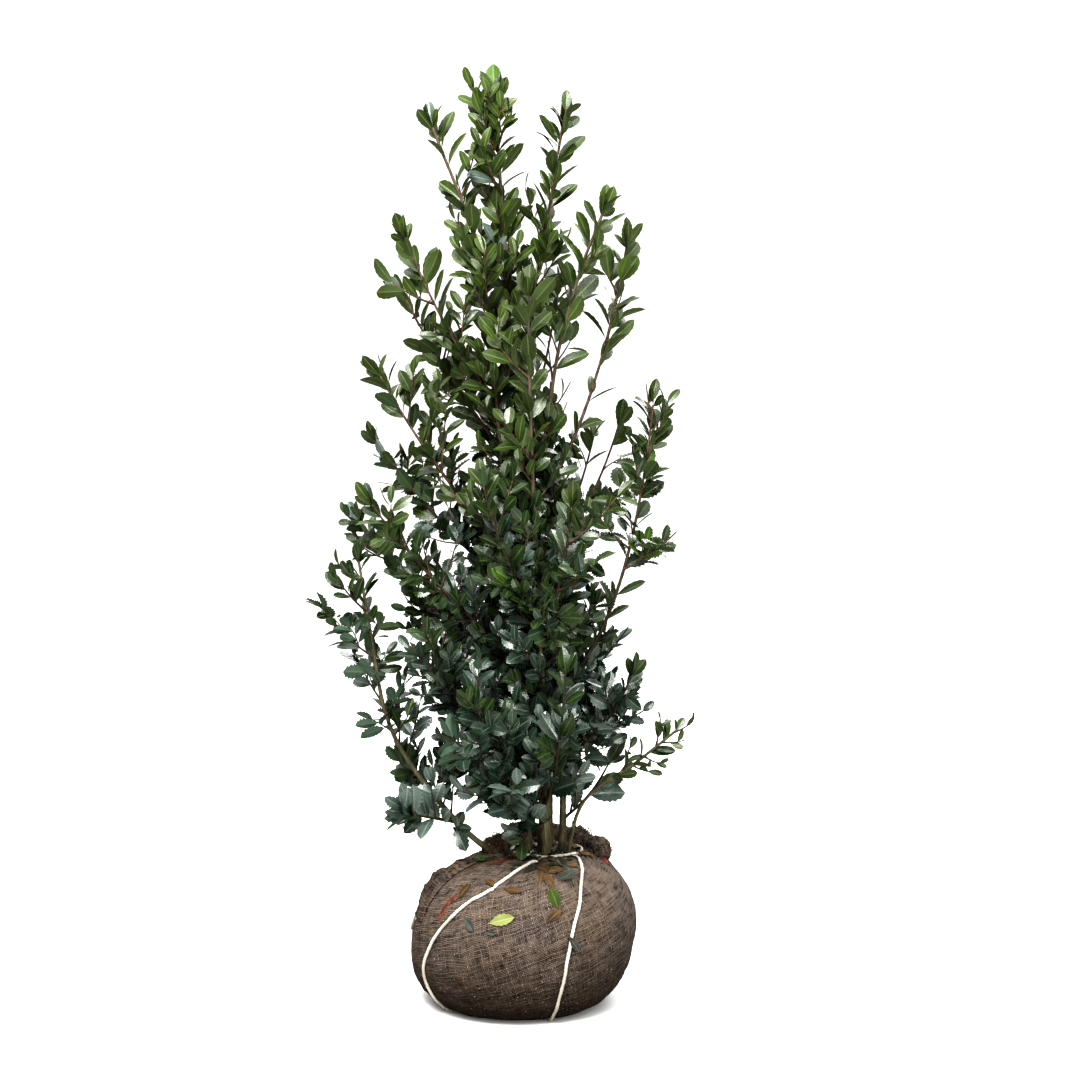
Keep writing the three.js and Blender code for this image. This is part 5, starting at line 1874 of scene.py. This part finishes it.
for degrees, share, heading, length, tint in FALLEN:
    angle = math.radians(degrees)
    outwards = skin_normal(angle, share)
    around_ball = unit(ball_skin(angle + 0.01, share) - ball_skin(angle - 0.01, share))
    turn = math.radians(heading)
    direction = around_ball * math.cos(turn) + np.cross(outwards, around_ball) * math.sin(turn)
    form = FALLEN_BLADES[int(rng.integers(len(FALLEN_BLADES)))]
    lift = rng.uniform(0.4, 1.0) + (STRING_LIFT if degrees in ON_STRING else 0)
    drop_leaf(form, length, ball_skin(angle, share), direction, outwards, lift, tint)

# %% Litter round the stems' feet
LITTER, LITTER_REACH, LITTER_BEHIND = 70, 74, 50  # how many leaves, and how far out
LITTER_TINTS = ["brown", "brown", "brown", "grey", "dark"]
for _ in range(LITTER):
    angle = rng.uniform(0, 2 * math.pi)
    far = LITTER_BEHIND if math.sin(angle) > -0.25 else LITTER_REACH
    middle = on_ball_top(angle, far * math.sqrt(rng.random()))
    direction = np.append(rng.normal(0, 1, 2), rng.normal(0, 0.15))
    facing = unit((rng.normal(0, 0.3), rng.normal(0, 0.3), 1.0))
    form = BLADES[int(rng.integers(len(BLADES)))]
    tint = rng.choice(LITTER_TINTS)
    drop_leaf(form, rng.uniform(28, 42), middle, direction, facing, rng.uniform(1, 7), tint)
sharp = np.concatenate(fallen_sharp)
make_piece("fallen_leaves", fallen_bundle, finishes, sharp=sharp)

# %% [markdown]
# ## Floor and hand-over
#
# The floor is a wide disc with a rounded rim, so that no edge shows. The box of the dressed
# plant is printed beside the box of the solids.

# %% Floor
FLOOR_SIDES, FLOOR_DROP = 96, 0.5
FLOOR_RINGS = ((400, 0), (3000, 0), (9000, 0), (9020, -20))  # radius, height
points = [
    (r * math.cos(a), r * math.sin(a), z - FLOOR_DROP)
    for r, z in FLOOR_RINGS for a in around_ring(FLOOR_SIDES)
]
middle = fan(0, FLOOR_SIDES, len(points))
points = np.array(points + [(0, 0, -FLOOR_DROP)])
mesh = bpy.data.meshes.new("floor")
faces = grid_faces(len(FLOOR_RINGS), FLOOR_SIDES)[:, ::-1].tolist() + middle.tolist()
mesh.from_pydata((points * METRES).tolist(), [], faces)
mesh.materials.append(floor_finish())
floor = bpy.data.objects.new("floor", mesh)
scene.collection.objects.link(floor)
floor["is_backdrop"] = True

# %% Sizes of the solids and of the dressed plant
seen_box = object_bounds()
boxes = {"cad": [list(c) for c in cad_box], "seen": [list(c) for c in seen_box]}
for label, corners in boxes.items():
    print(label, [[round(1000 * value) for value in corner] for corner in corners])
